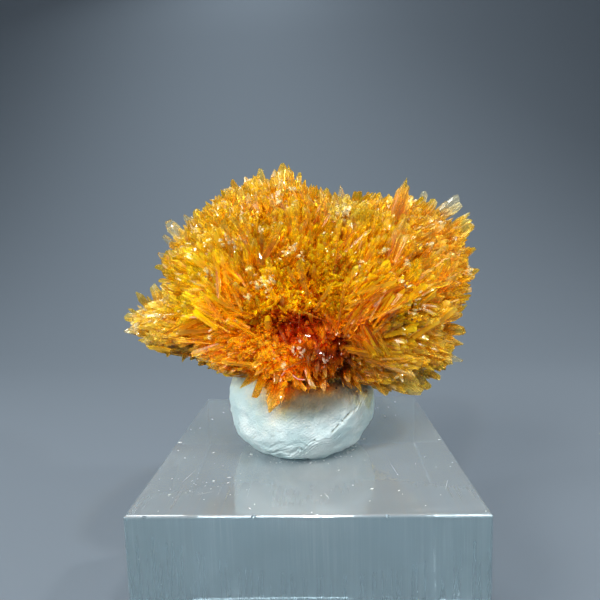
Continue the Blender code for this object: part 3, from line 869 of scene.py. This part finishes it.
# %% Nests of tiny clear crystals
NESTS = (
    ((-5.5, -17.0, 31.2), 1.25, 44),
    ((-8.0, -16.2, 29.0), 0.45, 9),
    ((-10.3, -12.4, 37.4), 0.6, 9),
    ((-12.3, -12.6, 37.0), 0.4, 5),
    ((-0.4, -13.4, 34.9), 0.5, 6),
    ((-1.0, -14.6, 36.2), 0.5, 6),
    ((-3.4, -9.4, 43.4), 0.5, 6),
    ((-1.6, -7.0, 45.6), 0.5, 6),
    ((-12.6, -14.4, 30.6), 0.5, 7),
    ((-8.2, -15.4, 33.0), 0.5, 6),
    ((9.2, -14.6, 33.2), 0.5, 5),
    ((20.2, -9.6, 36.0), 0.5, 5),
    ((15.2, -14.0, 30.4), 0.4, 4),
    ((-6.0, -11.2, 39.0), 0.5, 5),
    ((-1.9, -12.8, 35.0), 0.9, 10),
    ((-3.6, -4.0, 47.0), 1.0, 9),
    ((-19.3, -11.2, 21.8), 0.4, 4),
    ((-15.4, -10.6, 22.2), 0.4, 4),
    ((-0.9, -14.4, 20.6), 1.0, 14),
    ((-3.0, -14.4, 18.0), 0.5, 5),
    ((3.2, -14.0, 19.0), 0.7, 7),
    ((28.0, -4.0, 31.2), 0.9, 9),
    ((15.9, -14.2, 33.2), 0.5, 5),
    ((16.9, -14.9, 26.9), 1.4, 20),
    ((22.6, -7.6, 39.2), 0.6, 6),
    ((16.4, -12.6, 21.8), 1.3, 10),
    ((12.6, -12.4, 35.4), 0.6, 6),
    ((-14.6, -12.4, 32.4), 0.8, 8),
    ((-24.6, -7.9, 24.8), 1.2, 14),
    ((-29.3, -6.0, 22.6), 1.0, 12),
    ((-27.9, -6.6, 25.9), 0.9, 10),
    ((7.0, -5.2, 41.4), 1.0, 9),
    ((15.0, -12.4, 15.4), 1.2, 9),
)
NEST_WIDTH, NEST_LENGTH = (0.22, 0.52), (0.8, 1.7)
EYE = np.array(CAMERA_PLACE) / MM - (0, 0, BLOCK_TOP / MM)


def on_front(place):
    """Moves a place along the line from the camera until it is on the front of the sprays."""
    for _ in range(4):
        share = 1 - (((place - centres) / reaches)[:, [0, 2]] ** 2).sum(1)
        if share.max() < 0.02:
            break
        front = np.where(share > 0, centres[:, 1] - reaches[:, 1] * np.sqrt(np.maximum(share, 0)), 99).min()
        place = EYE + (place - EYE) * (front + 0.4 - EYE[1]) / (place[1] - EYE[1])
    return place


nests = []
for place, reach, count in NESTS:
    place = on_front(np.array(place, float))
    depths = depth_in(place, centres, reaches)
    middle = centres[depths.argmin()]
    place = middle + (place - middle) / max(depths.min(), 1)
    outward = way_out(np.array([place], float))[0] + (0, -1.2, 0)
    aside = rng.normal(0, 1, (count, 3)) * reach * 0.55
    ways = unit(unit(outward) + rng.normal(0, 0.42, (count, 3)))
    nests.append((place + aside * (1, 0.4, 1) + (0, -0.5, 0), ways, rng.uniform(*NEST_WIDTH, count)))
tips, ways, widths = join(nests)
feet = tips - ways * rng.uniform(*NEST_LENGTH, (len(tips), 1))
held = (depth_in(feet[:, None], centres, reaches) < 0.98).any(1)
sparkling = creedite_material("sparkling_creedite", 0.75, 0.06, 1.0, coat=1.0, clear=0.75, core=0.4)
crystals_piece("sparkle_nests", tips[held], feet[held], widths[held], sparkling, rng)

# %% [markdown]
# ## The mass inside
# Between the crystals you look into the stone itself. Ten shrunken ellipsoids are joined by a voxel
# remesh into one closed skin.

# %% The mass inside
MASS_REACH = 0.80
VOXEL = 0.7


def mesh_of(name, shape):
    """A mesh from a bmesh, which is freed."""
    mesh = bpy.data.meshes.new(name)
    shape.to_mesh(mesh)
    shape.free()
    return mesh


def carry_out(piece):
    """Puts the modifiers' result in the place of the piece's mesh."""
    bpy.context.view_layer.update()
    made = bpy.data.meshes.new_from_object(piece.evaluated_get(bpy.context.evaluated_depsgraph_get()))
    piece.modifiers.clear()
    piece.data = made
    return made


def inner_mass():
    shape = bmesh.new()
    for root, centre, reach in zip(roots, centres, reaches):
        middle = root + (centre - root) * MASS_REACH
        place = Matrix.Translation(middle) @ Matrix.Diagonal((*(reach * MASS_REACH), 1))
        bmesh.ops.create_icosphere(shape, subdivisions=4, radius=1, matrix=place)
    piece = new_object("crystal_mass", mesh_of("crystal_mass", shape))
    joined = piece.modifiers.new("joined", "REMESH")
    joined.mode = "VOXEL"
    joined.voxel_size = VOXEL
    skin = carry_out(piece)
    corners = np.zeros(len(skin.vertices) * 3, np.float32)
    skin.vertices.foreach_get("co", corners)
    skin.vertices.foreach_set("co", to_metres(corners.reshape(-1, 3)).astype(np.float32).ravel())
    skin.update()
    return piece


crystal_mass = inner_mass()
crystal_mass.data.materials.append(creedite_material("mass_creedite", 0.0, 0.4, 0.0))
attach(crystal_mass, "root")
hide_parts("creedite_cluster")
print("mass", len(crystal_mass.data.polygons), "faces")

# %% [markdown]
# ## The putty
# Putty keeps every touch. The ball starts as the same squashed, turned profile as its solid, on a fine
# grid of rings and sides. Then each corner moves along its normal: soft lumps, a long crack where a
# flap was folded over, the ridges of a fingertip on that flap, and low folds at the foot on the left.
# Sums of waves in random directions make the lumps, and each corner's distance to a line makes the
# crack.

# %% Putty shape
PUTTY_RINGS, PUTTY_SIDES = 150, 360
PUTTY_FOOT = 0.02  # above the block
CRACK = np.array(
    (
        (10.6, -5.2, 12.0),
        (9.5, -6.9, 10.7),
        (8.1, -9.2, 9.3),
        (6.6, -10.7, 8.6),
        (6.0, -11.1, 7.8),
        (4.3, -11.9, 6.6),
        (2.2, -12.5, 5.9),
        (0.4, -12.5, 4.6),
        (-1.2, -12.3, 3.2),
        (-3.4, -12.2, 2.6),
    )
)
CRACK_WIDTH, CRACK_DEPTH = 0.13, 0.5
FLAP_SIDE = np.array((0.62, -0.1, -0.78))  # the side of the crack that the flap is on
FLAP_LIFT, FLAP_REACH = 0.28, 1.8
RIDGE = 0.45  # from one finger ridge to the next
LUMPS = ((0.32, 13), (0.16, 4.5), (0.065, 1.6), (0.022, 0.7))  # height and size
FOLD_MIDDLE, FOLD_REACH = (-4.5, 3.4), (7, 3.2)  # x and z
FOLD_STEP, FOLD_HEIGHT = 1.5, 0.38
FOOT_HEIGHT = 0.7  # the foot spreads unevenly on the block below this


def waves(points, size, rng, count=16):
    """Smooth lumps of about this size, between about -1 and 1."""
    total = np.zeros(len(points))
    for _ in range(count):
        way = unit(rng.normal(size=3)) * 2 * math.pi / (size * rng.uniform(0.7, 1.5))
        total += np.sin(points @ way + rng.uniform(0, 2 * math.pi))
    return total / math.sqrt(count)


def line_distance(points, line):
    """Distance of each point from a broken line, and the nearest place on it."""
    best = np.full(len(points), np.inf)
    nearest = np.zeros_like(points)
    for start, end in zip(line, line[1:]):
        way = end - start
        share = np.clip((points - start) @ way / (way @ way), 0, 1)
        place = start + share[:, None] * way
        gap = np.linalg.norm(points - place, axis=1)
        closer = gap < best
        best[closer] = gap[closer]
        nearest[closer] = place[closer]
    return best, nearest


def putty_grid():
    """The plain ball's corners, and the directions out of its surface."""
    foot_angle = math.asin((PUTTY_FOOT - PUTTY_MIDDLE[2]) / PUTTY_TALL)
    angles = np.linspace(math.pi / 2, foot_angle, PUTTY_RINGS + 1)[1:]
    turns = np.arange(PUTTY_SIDES) * 2 * math.pi / PUTTY_SIDES
    up = PUTTY_TALL * np.sin(angles)
    out = PUTTY_WIDE * (1 - np.abs(up / PUTTY_TALL) ** PUTTY_FULLNESS) ** (1 / PUTTY_FULLNESS)
    ring = np.stack([np.cos(turns), np.sin(turns)], 1)
    heights = np.repeat(up[:, None, None], PUTTY_SIDES, 1)
    points = np.concatenate([out[:, None, None] * ring[None], heights], 2).reshape(-1, 3)
    power = PUTTY_FULLNESS - 1
    slope_out = (np.hypot(points[:, 0], points[:, 1]) / PUTTY_WIDE) ** power / PUTTY_WIDE
    slope_up = np.sign(points[:, 2]) * (np.abs(points[:, 2]) / PUTTY_TALL) ** power / PUTTY_TALL
    sideways = np.tile(ring, (PUTTY_RINGS, 1))
    normals = unit(np.stack([slope_out * sideways[:, 0], slope_out * sideways[:, 1], slope_up], 1))
    return points + PUTTY_MIDDLE, normals


def crack_and_ridges(points, rng):
    """How far the crack and its flap move each corner, the crack's depth, and the finger ridges."""
    gap, nearest = line_distance(points + 0.25 * waves(points, 1.3, rng)[:, None], CRACK)
    flap = (points - nearest) @ unit(FLAP_SIDE)
    on_flap = 1 / (1 + np.exp(-flap / 0.12))
    groove = np.exp(-((gap / CRACK_WIDTH) ** 2)) * np.clip((nearest[:, 2] - 2.4) / 3, 0.6, 1)
    push = -CRACK_DEPTH * groove + FLAP_LIFT * on_flap * np.exp(-gap / FLAP_REACH)
    place = (flap + 0.5 * waves(points, 8, rng)) / RIDGE
    share = (0.4 + 0.6 * on_flap) * np.exp(-((gap / 7) ** 2)) * (0.5 + 0.5 * waves(points, 5, rng))
    return push, groove, {"ridge_place": place, "ridge_share": np.clip(share, 0, 1) * (points[:, 1] < 0)}


def low_folds(points, rng):
    """The folds at the foot on the left, and where they are."""
    x, y, z = points.T
    bend = z + 0.45 * np.sin(x * 0.8) + 0.25 * np.sin(x * 2.1 + 1)
    far = np.hypot((x - FOLD_MIDDLE[0]) / FOLD_REACH[0], (z - FOLD_MIDDLE[1]) / FOLD_REACH[1])
    fold_at = np.clip(1 - far, 0, 1) * (y < 0)
    fold = np.abs(np.sin(math.pi * bend / FOLD_STEP + 0.8 * waves(points, 5, rng))) ** 0.6
    return fold, fold_at


def putty_shape(rng):
    """The ball's corners above the block, its faces, and for each corner its crease and finger ridges."""
    points, normals = putty_grid()
    push = sum(height * waves(points, size, rng) for height, size in LUMPS)
    crack, groove, ridges = crack_and_ridges(points, rng)
    push += crack
    fold, fold_at = low_folds(points, rng)
    push += FOLD_HEIGHT * (fold - 0.7) * fold_at
    foot = np.exp(-((points[:, 2] / FOOT_HEIGHT) ** 2))
    push += foot * (0.25 + 0.3 * waves(points, 3, rng))
    crease = np.clip(groove + 0.5 * fold_at * (1 - fold) ** 2 + 0.15 * foot, 0, 1)
    points += normals * push[:, None]
    points[:, 2] = np.maximum(points[:, 2], PUTTY_FOOT)
    points[-PUTTY_SIDES:, 2] = PUTTY_FOOT
    return points, wall_faces(PUTTY_RINGS, PUTTY_SIDES)[:, [0, 3, 2, 1]], {"crease": crease, **ridges}


points, faces, putty_marks = putty_shape(np.random.default_rng(4))
putty_mesh = bpy.data.meshes.new("putty_ball")
lowest = range((PUTTY_RINGS - 1) * PUTTY_SIDES, PUTTY_RINGS * PUTTY_SIDES)
caps = [list(range(PUTTY_SIDES)), list(lowest)[::-1]]
putty_mesh.from_pydata(to_metres(points).tolist(), [], faces.tolist() + caps)
putty_mesh.shade_smooth()
for label, values in putty_marks.items():
    made = putty_mesh.attributes.new(label, "FLOAT", "POINT")
    made.data.foreach_set("value", values.astype(np.float32))
putty_ball = new_object("putty_ball", putty_mesh)
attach(putty_ball, "root")
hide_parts("display_putty")
print("putty", len(putty_mesh.polygons), "faces, with", ", ".join(putty_marks))

# %% [markdown]
# ## The putty's finish
# Matte, mint white, a little greyer in places, and darker in the creases, with dust and painted shade. Under
# the crystals a shadow is painted on, with a painted blush of orange for the light that comes through them.
# The finger ridges are a sine in the bump, along the distances that the shape worked out.

# %% Putty finish
PUTTY_SHADE_AND_GLOW_PATCHES = (
    # centre and reach in millimetres above the block, edge, colour, strength
    # A painted shadow under the crystals, then two painted blushes of orange light that comes through them.
    ((0.4, -12, 12.3), (8.0, 7, 3.4), 0.6, (0.08, 0.06, 0.022), 0.88),
    ((-4, -12.5, 14.0), (3, 5, 1.8), 0.6, (0.85, 0.52, 0.06), 0.35),
    ((3.5, -12.5, 14), (2.6, 5, 1.6), 0.6, (0.80, 0.48, 0.05), 0.3),
)
putty_finish, tree, shader = new_material("putty", IOR=1.45)
above = point_above_block(tree)
clouds = noise(tree, above, 0.22, 3.0)
colour = mixed(tree, ranged(tree, clouds, 0.35, 0.65), (0.55, 0.71, 0.72), (0.69, 0.80, 0.80))
# Darker in the creases: dust and painted shade.
crease_dust_and_shade = ranged(tree, attribute(tree, "crease"), 0.25, 1.0, 0.0, 0.75)
colour = with_patches(tree, mixed(tree, crease_dust_and_shade, colour, (0.30, 0.28, 0.17)), above, PUTTY_SHADE_AND_GLOW_PATCHES)
grit = use_group(tree, specks, {"Point": above, "Scale": 0.55, "Size": 0.09}).outputs["Mask"]
colour = mixed(tree, maths(tree, "MULTIPLY", grit, 0.6), colour, (0.25, 0.22, 0.18))
fine = noise(tree, above, 3.5, 4.0)
ridges = maths(tree, "SINE", maths(tree, "MULTIPLY", attribute(tree, "ridge_place"), 2 * math.pi))
ridges = maths(tree, "MULTIPLY", ridges, attribute(tree, "ridge_share"))
height = maths(tree, "ADD", fine, maths(tree, "MULTIPLY", ridges, 0.34))
bump = add(tree, "Bump", {"Height": height, "Strength": 0.8, "Distance": 0.25 * MM})
polish = ranged(tree, fine, 0.3, 0.7, 0.5, 0.75)
fill(tree, shader, {"Base Color": colour, "Roughness": polish, "Normal": bump.outputs[0]})
putty_mesh.materials.append(putty_finish)

# %% [markdown]
# ## The acrylic block
# A real acrylic block is sawn, milled and polished. Its edges are slightly round, and small chips break
# them. The block is a bevelled box with sixteen chips cut out by one Boolean.

# %% Block shape
EDGE_ROUND = 0.4
CHIP_SIZE = (0.25, 0.7)


def chip_cutter(low, high, rng):
    """Small uneven balls at places along the edges, as one object to cut with."""
    chips = bmesh.new()
    places = (
        [(high[0], y, high[2]) for y in (-9.5, -8, -6.4, 3, 14)]
        + [(low[0], y, high[2]) for y in (-24, -11, 6)]
        + [(x, low[1], high[2]) for x in (-22, -7, 11)]
        + [(high[0], high[1], z) for z in (31, 24, 20, 15, 9)]
    )
    for place in places:
        turn = Matrix.Rotation(rng.uniform(0, 6), 4, unit(rng.normal(size=3)))
        size = Matrix.Diagonal((*rng.uniform(*CHIP_SIZE, 3), 1))
        shape = Matrix.Translation(place) @ turn @ size
        bmesh.ops.create_icosphere(chips, subdivisions=2, radius=1, matrix=shape)
    return new_object("chips", mesh_of("chips", chips))


def clear_block(rng):
    low, high = np.array(block_low) / MM, np.array(block_high) / MM
    shape = bmesh.new()
    box = Matrix.Translation((low + high) / 2) @ Matrix.Diagonal((*(high - low), 1))
    bmesh.ops.create_cube(shape, size=1, matrix=box)
    edges = list(shape.edges)
    bmesh.ops.bevel(shape, geom=edges, offset=EDGE_ROUND, segments=3, profile=0.5, affect="EDGES")
    piece = new_object("clear_block", mesh_of("clear_block", shape))
    cutter = chip_cutter(low, high, rng)
    cut = piece.modifiers.new("chipped", "BOOLEAN")
    cut.operation = "DIFFERENCE"
    cut.solver = "EXACT"
    cut.object = cutter
    chipped = carry_out(piece)
    bpy.data.objects.remove(cutter)
    chipped.transform(Matrix.Scale(MM, 4))
    chipped.shade_flat()
    return piece


block = clear_block(np.random.default_rng(8))
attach(block, "root")
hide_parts("acrylic_block")
print("block", len(block.data.polygons), "faces")

# %% [markdown]
# ## The acrylic's finish
# Acrylic refracts at 1.49. A share of plain surface, a third of it, stands for the fine haze of scratches
# that makes the block look milky. The top has a coat as well, which mirrors the putty. Its index of 2.0 is
# more than acrylic has, and was chosen for the strength of that mirror image. The sides are painted darker,
# as painted shade, and the top paler, as a painted sheen. A soft patch on the top in front of the putty is a
# painted reflection: it adds to the haze, the paleness and the coat there. Mill marks run down the front, and
# from front to back on the top, as long streaks.

# %% Acrylic finish
acrylic, tree, shader = new_material(
    "acrylic", IOR=1.49, Transmission_Weight=0.66, Specular_IOR_Level=0.9, Coat_Roughness=0.12, Coat_IOR=2.0
)
in_mm = point_in_mm(tree)
top_at = BLOCK_TOP / MM
height = add(tree, "SeparateXYZ", {0: in_mm}).outputs["Z"]
on_top = ranged(tree, height, top_at - 0.35, top_at - 0.02)
marks = streak_height(tree, in_mm, (1.0, 0.03, 0.03), 1.6, 4.0)
fine_marks = streak_height(tree, in_mm, (1.0, 0.012, 0.02), 6.0, 2.0)
clouds = noise(tree, in_mm, 0.10, 3.0)
coarse, fine = ranged(tree, marks, 0.4, 0.75, 0.0, 0.6), ranged(tree, fine_marks, 0.5, 0.75, 0.0, 0.5)
# A painted reflection on the top in front of the putty.
painted_reflection = patch_mask(tree, in_mm, (0.5, -17.0, top_at), (8.0, 9.0, 4.0), 0.6)
marks_and_reflection = maths(tree, "ADD", maths(tree, "ADD", coarse, fine), maths(tree, "MULTIPLY", painted_reflection, 0.9))
haze_and_reflection = maths(tree, "MULTIPLY", marks_and_reflection, ranged(tree, clouds, 0.4, 0.65, 0.4, 1.0), clamp=True)
# The sides take painted shade and the top a painted sheen.
shaded_side_colour = mixed(tree, haze_and_reflection, (0.45, 0.58, 0.63), (0.56, 0.69, 0.73))
lit_top_colour = mixed(tree, haze_and_reflection, (0.86, 0.95, 1.0), (0.98, 1.0, 1.0))
colour = mixed(tree, on_top, shaded_side_colour, lit_top_colour)
polish = ranged(tree, haze_and_reflection, 0.0, 1.0, 0.03, 0.2)
bump = add(tree, "Bump", {"Height": marks, "Strength": 0.08, "Distance": 0.05 * MM})
shine = maths(tree, "MULTIPLY", on_top, ranged(tree, haze_and_reflection, 0.0, 1.0, 0.7, 1.0))
surface = {"Base Color": colour, "Roughness": polish, "Normal": bump.outputs[0], "Coat Weight": shine}
fill(tree, shader, surface)
block.data.materials.clear()
block.data.materials.append(acrylic)

# %% [markdown]
# ## Dust and scratches
# Flakes of dust and torn putty lie on the block, most of them round the putty's foot, and a few fine
# scratches cross its top. Each is a closed eight-sided flake, drawn out long for a scratch. Those on the
# front lie just under the surface, so that nothing stands out of the block. A pink fibre and four dark
# grains are caught in the crystals.

# %% Flakes and scratches
FLAKE = np.array([(1, 0, 0), (0, 1, 0), (-1, 0, 0), (0, -1, 0), (0, 0, 1), (0, 0, -1)], float)
FLAKE_FACES = np.array(
    [(0, 1, 4), (1, 2, 4), (2, 3, 4), (3, 0, 4), (1, 0, 5), (2, 1, 5), (3, 2, 5), (0, 3, 5)]
)
FRONT_FACE, UNDER_FRONT = -25, 0.04
FOOT_FLAKES, SPREAD_FLAKES, PATCH_FLAKES, FRONT_FLAKES = 110, 110, 35, 70
PATCH_AT, PATCH_SPREAD = (-17, -17), (3.5, 3.0)
KEPT_FROM_EDGE = 0.8
# Rows of (x, y or height, half length, turn)
TOP_SCRATCHES = (
    (-19, -14, 2.2, 1.3),
    (-15, -19, 1.4, 0.4),
    (-10, -6, 0.9, 1.9),
    (14, -12, 2.4, 1.7),
    (21, -17, 1.6, 1.2),
    (3, -20, 1.1, 2.0),
)
FRONT_SCRATCHES = (
    (9.6, -4.5, 1.2, 0.9),
    (-15.5, -3.4, 0.5, 1.3),
    (-8.4, -3.8, 0.9, 1.8),
    (16.8, -8, 0.8, 1.1),
)


def flat_flakes(places, sizes, turns):
    """Corners of flakes that lie flat. sizes are half length, half width and half height."""
    corners = FLAKE[None] * sizes[:, None]
    cos, sin = np.cos(turns)[:, None], np.sin(turns)[:, None]
    u = corners[:, :, 0] * cos - corners[:, :, 1] * sin
    v = corners[:, :, 0] * sin + corners[:, :, 1] * cos
    return places[:, None] + np.stack([u, v, corners[:, :, 2]], 2)


def front_flakes(places, sizes, turns):
    """Corners of flakes in the block's front face. places are x and height."""
    standing = flat_flakes(np.zeros((len(places), 3)), sizes, turns)[:, :, [0, 2, 1]]
    depth = np.full(len(places), FRONT_FACE + UNDER_FRONT)
    return standing + np.stack([places[:, 0], depth, places[:, 1]], 1)[:, None]


def flake_faces(count):
    return (FLAKE_FACES[None] + np.arange(count)[:, None, None] * len(FLAKE)).reshape(-1, 3)


def flake_sizes(count, size, spread, least, most, rng):
    """Half length, width and height: a random size for each flake, times a random share of each."""
    return np.exp(rng.normal(size, spread, (count, 1))) * rng.uniform(least, most, (count, 3))


def scratch_parts(rows, half_width, half_height):
    rows = np.array(rows)
    thin = (np.full(len(rows), half) for half in (half_width, half_height))
    return rows[:, :2], np.stack([rows[:, 2], *thin], 1), rows[:, 3]


def flakes_on_top(left_front, right_back, rng):
    foot_turns = rng.uniform(0, 2 * math.pi, FOOT_FLAKES)
    foot_reach = 9.3 + rng.exponential(0.55, FOOT_FLAKES)
    foot = np.stack([PUTTY_MIDDLE[0] + foot_reach * np.cos(foot_turns), foot_reach * np.sin(foot_turns)], 1)
    spread = rng.uniform(left_front, right_back, (SPREAD_FLAKES, 2))
    patch = rng.normal(PATCH_AT, PATCH_SPREAD, (PATCH_FLAKES, 2))
    flat = np.concatenate([foot, spread, patch])
    flat = np.clip(flat, left_front + KEPT_FROM_EDGE, right_back - KEPT_FROM_EDGE)
    sizes = flake_sizes(len(flat), -2.2, 0.45, (0.7, 0.4, 0.1), (1.6, 1, 0.3), rng)
    places = np.concatenate([flat, sizes[:, 2:] + 0.004], 1)
    return flat_flakes(places, sizes, rng.uniform(0, math.pi, len(flat)))


def flakes_piece(rng):
    left_front, right_back = np.array(block_low)[:2] / MM, np.array(block_high)[:2] / MM
    on_top = flakes_on_top(left_front, right_back, rng)
    places, sizes, turns = scratch_parts(TOP_SCRATCHES, 0.025, 0.01)
    places = np.column_stack([places, np.full(len(places), 0.012)])
    scratches = flat_flakes(places, sizes, turns)
    places = rng.uniform((left_front[0] + 1, -20), (right_back[0] - 1, -1), (FRONT_FLAKES, 2))
    sizes = flake_sizes(FRONT_FLAKES, -2.4, 0.4, (0.6, 0.5, 0.1), (1.5, 1, 0.2), rng)
    on_front = front_flakes(places, sizes, rng.uniform(0, math.pi, FRONT_FLAKES))
    front_marks = front_flakes(*scratch_parts(FRONT_SCRATCHES, 0.03, 0.012))
    corners = np.concatenate([on_top, scratches, on_front, front_marks])
    faces = flake_faces(len(corners))
    mirrored = np.repeat(np.arange(len(corners)) >= len(on_top) + len(scratches), len(FLAKE_FACES))
    faces[mirrored] = faces[mirrored][:, ::-1]
    mesh = bpy.data.meshes.new("dust")
    mesh.from_pydata(to_metres(corners.reshape(-1, 3)).tolist(), [], faces.tolist())
    mesh.shade_flat()
    print("dust:", len(corners), "flakes and scratches")
    return new_object("dust", mesh)


LINT_LINE = np.array(
    (
        (-3.4, -15.3, 16.7),
        (-2.9, -15.9, 17.4),
        (-2.2, -16.1, 17.5),
        (-1.6, -16.0, 16.8),
        (-0.9, -15.8, 16.2),
        (0.1, -15.4, 16.0),
    )
)
LINT_THICK, LINT_SIDES, LINT_STEPS = 0.09, 6, 26
GRIT = np.array(((16.3, -14.9, 24.8), (17.1, -14.6, 24.5), (19.5, -13.4, 29.4), (4.9, -13.4, 14.0)))
GRIT_SIZE = (0.14, 0.26)


def fibre():
    """Corners and faces of a thin tube along the lint's line."""
    steps = np.linspace(0, len(LINT_LINE) - 1, LINT_STEPS)
    path = np.stack([np.interp(steps, range(len(LINT_LINE)), LINT_LINE[:, axis]) for axis in range(3)], 1)
    path[1:-1] = (path[:-2] + 2 * path[1:-1] + path[2:]) / 4
    ways = unit(np.gradient(path, axis=0))
    first = unit(np.cross(ways, (0, 1, 0)))
    second = np.cross(ways, first)
    turns = np.arange(LINT_SIDES) * 2 * math.pi / LINT_SIDES
    ring = np.cos(turns)[None, :, None] * first[:, None] + np.sin(turns)[None, :, None] * second[:, None]
    last = (LINT_STEPS - 1) * LINT_SIDES
    caps = [list(range(LINT_SIDES))[::-1], list(range(last, last + LINT_SIDES))]
    faces = wall_faces(LINT_STEPS, LINT_SIDES).tolist() + caps
    return (path[:, None] + ring * LINT_THICK).reshape(-1, 3), faces


def lint_and_grit(rng):
    """A curled pink fibre and four dark grains, caught in the front of the crystals."""
    sizes, turns = rng.uniform(*GRIT_SIZE, (len(GRIT), 3)), rng.uniform(0, math.pi, len(GRIT))
    grains = flat_flakes(GRIT, sizes, turns).reshape(-1, 3)
    pieces = []
    for name, places, parts in (
        ("lint_fibre", *fibre()),
        ("dark_grit", grains, flake_faces(len(GRIT)).tolist()),
    ):
        mesh = bpy.data.meshes.new(name)
        mesh.from_pydata(to_metres(places).tolist(), [], parts)
        piece = new_object(name, mesh)
        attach(piece, "root")
        pieces.append(piece)
    return pieces


def cloudy_colour(tree, shader, scale, low_colour, high_colour):
    shades = noise(tree, point_in_mm(tree), scale, 1.0)
    fill(tree, shader, {"Base Color": mixed(tree, ranged(tree, shades, 0.35, 0.65), low_colour, high_colour)})


lint, grit_grains = lint_and_grit(np.random.default_rng(3))
for piece, low_colour, high_colour in (
    (lint, (0.75, 0.30, 0.36), (0.92, 0.58, 0.58)),
    (grit_grains, (0.02, 0.012, 0.01), (0.07, 0.04, 0.03)),
):
    finish, tree, shader = new_material(piece.name, Roughness=0.6)
    cloudy_colour(tree, shader, 2.5, low_colour, high_colour)
    piece.data.materials.append(finish)

dust = flakes_piece(np.random.default_rng(12))
dust_finish, tree, shader = new_material("dust", Roughness=0.7, IOR=1.45)
cloudy_colour(tree, shader, 0.8, (0.62, 0.66, 0.64), (0.95, 0.98, 1.0))
dust.data.materials.append(dust_finish)
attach(dust, "root")

# %% [markdown]
# ## Floor, backdrop and light
# A plain grey-blue sheet runs from under the block and curves up behind it, so there is no horizon. A
# wide soft lamp stands high behind on the left, as a window would, and a smaller one in front on the
# left. Six small lamps around the stone make the glints on the crystals.

# %% Floor and light
FLOOR_HALF = 1.5
FLOOR_AT = -0.00005  # a film of air is left under the block
SHEET_FRONT, SHEET_TOP = -1.2, 1.8
BACK_AT = 0.55
CURVE = 0.35
AIM = (0, 0, 0.06)
GLINT_SIZE, GLINT_WATTS = 0.025, 0.36
GLINTS = (
    (0.15, -0.2, 0.4),
    (-0.1, -0.35, 0.3),
    (0.35, -0.15, 0.2),
    (-0.4, -0.1, 0.15),
    (0.0, -0.3, 0.5),
    (0.3, 0.15, 0.4),
)


def sweep():
    shape = bmesh.new()
    profile = [(SHEET_FRONT, FLOOR_AT), (BACK_AT - CURVE, FLOOR_AT)]
    profile += [
        (BACK_AT - CURVE + CURVE * math.sin(a), CURVE - CURVE * math.cos(a))
        for a in np.linspace(0.1, math.pi / 2, 16)
    ]
    profile.append((BACK_AT, SHEET_TOP))
    rows = [[shape.verts.new((x, y, z)) for x in (-FLOOR_HALF, FLOOR_HALF)] for y, z in profile]
    for near, far in zip(rows, rows[1:]):
        shape.faces.new((near[0], near[1], far[1], far[0]))
    mesh = mesh_of("backdrop", shape)
    piece = new_object("backdrop", mesh)
    for face in mesh.polygons:
        face.use_smooth = True
    finish, tree, shader = new_material("backdrop", Roughness=0.9)
    shader.inputs["Base Color"].default_value = (0.20, 0.235, 0.27, 1)
    mesh.materials.append(finish)


def soft_lamp(name, place, size, watts, colour):
    lamp = new_object(name, bpy.data.lights.new(name, "AREA"))
    lamp.data.size = size
    lamp.data.energy = watts
    lamp.data.color = colour
    lamp.location = place
    lamp.rotation_euler = (Vector(AIM) - Vector(place)).to_track_quat("-Z", "Y").to_euler()


sweep()
soft_lamp("window", (-0.13, 0.37, 0.58), 0.34, 1.62, (0.92, 0.97, 1.0))
soft_lamp("front_left", (-0.23, -0.30, 0.30), 0.12, 0.92, (1.0, 0.99, 0.97))
for number, place in enumerate(GLINTS, 1):
    soft_lamp(f"glint_{number}", place, GLINT_SIZE, GLINT_WATTS, (1.0, 1.0, 1.0))

world = bpy.data.worlds.new("studio")
bpy.context.scene.world = world
world.use_nodes = True
world.node_tree.nodes["Background"].inputs["Color"].default_value = (0.75, 0.83, 0.95, 1)
world.node_tree.nodes["Background"].inputs["Strength"].default_value = 0.15
bpy.context.scene.view_settings.view_transform = "Standard"
bpy.context.scene.view_settings.look = "Medium High Contrast"
print("look", bpy.context.scene.view_settings.look)
bpy.context.scene.cycles.transparent_max_bounces = 14
bpy.context.scene.cycles.max_bounces = 10
bpy.context.scene.cycles.transmission_bounces = 10
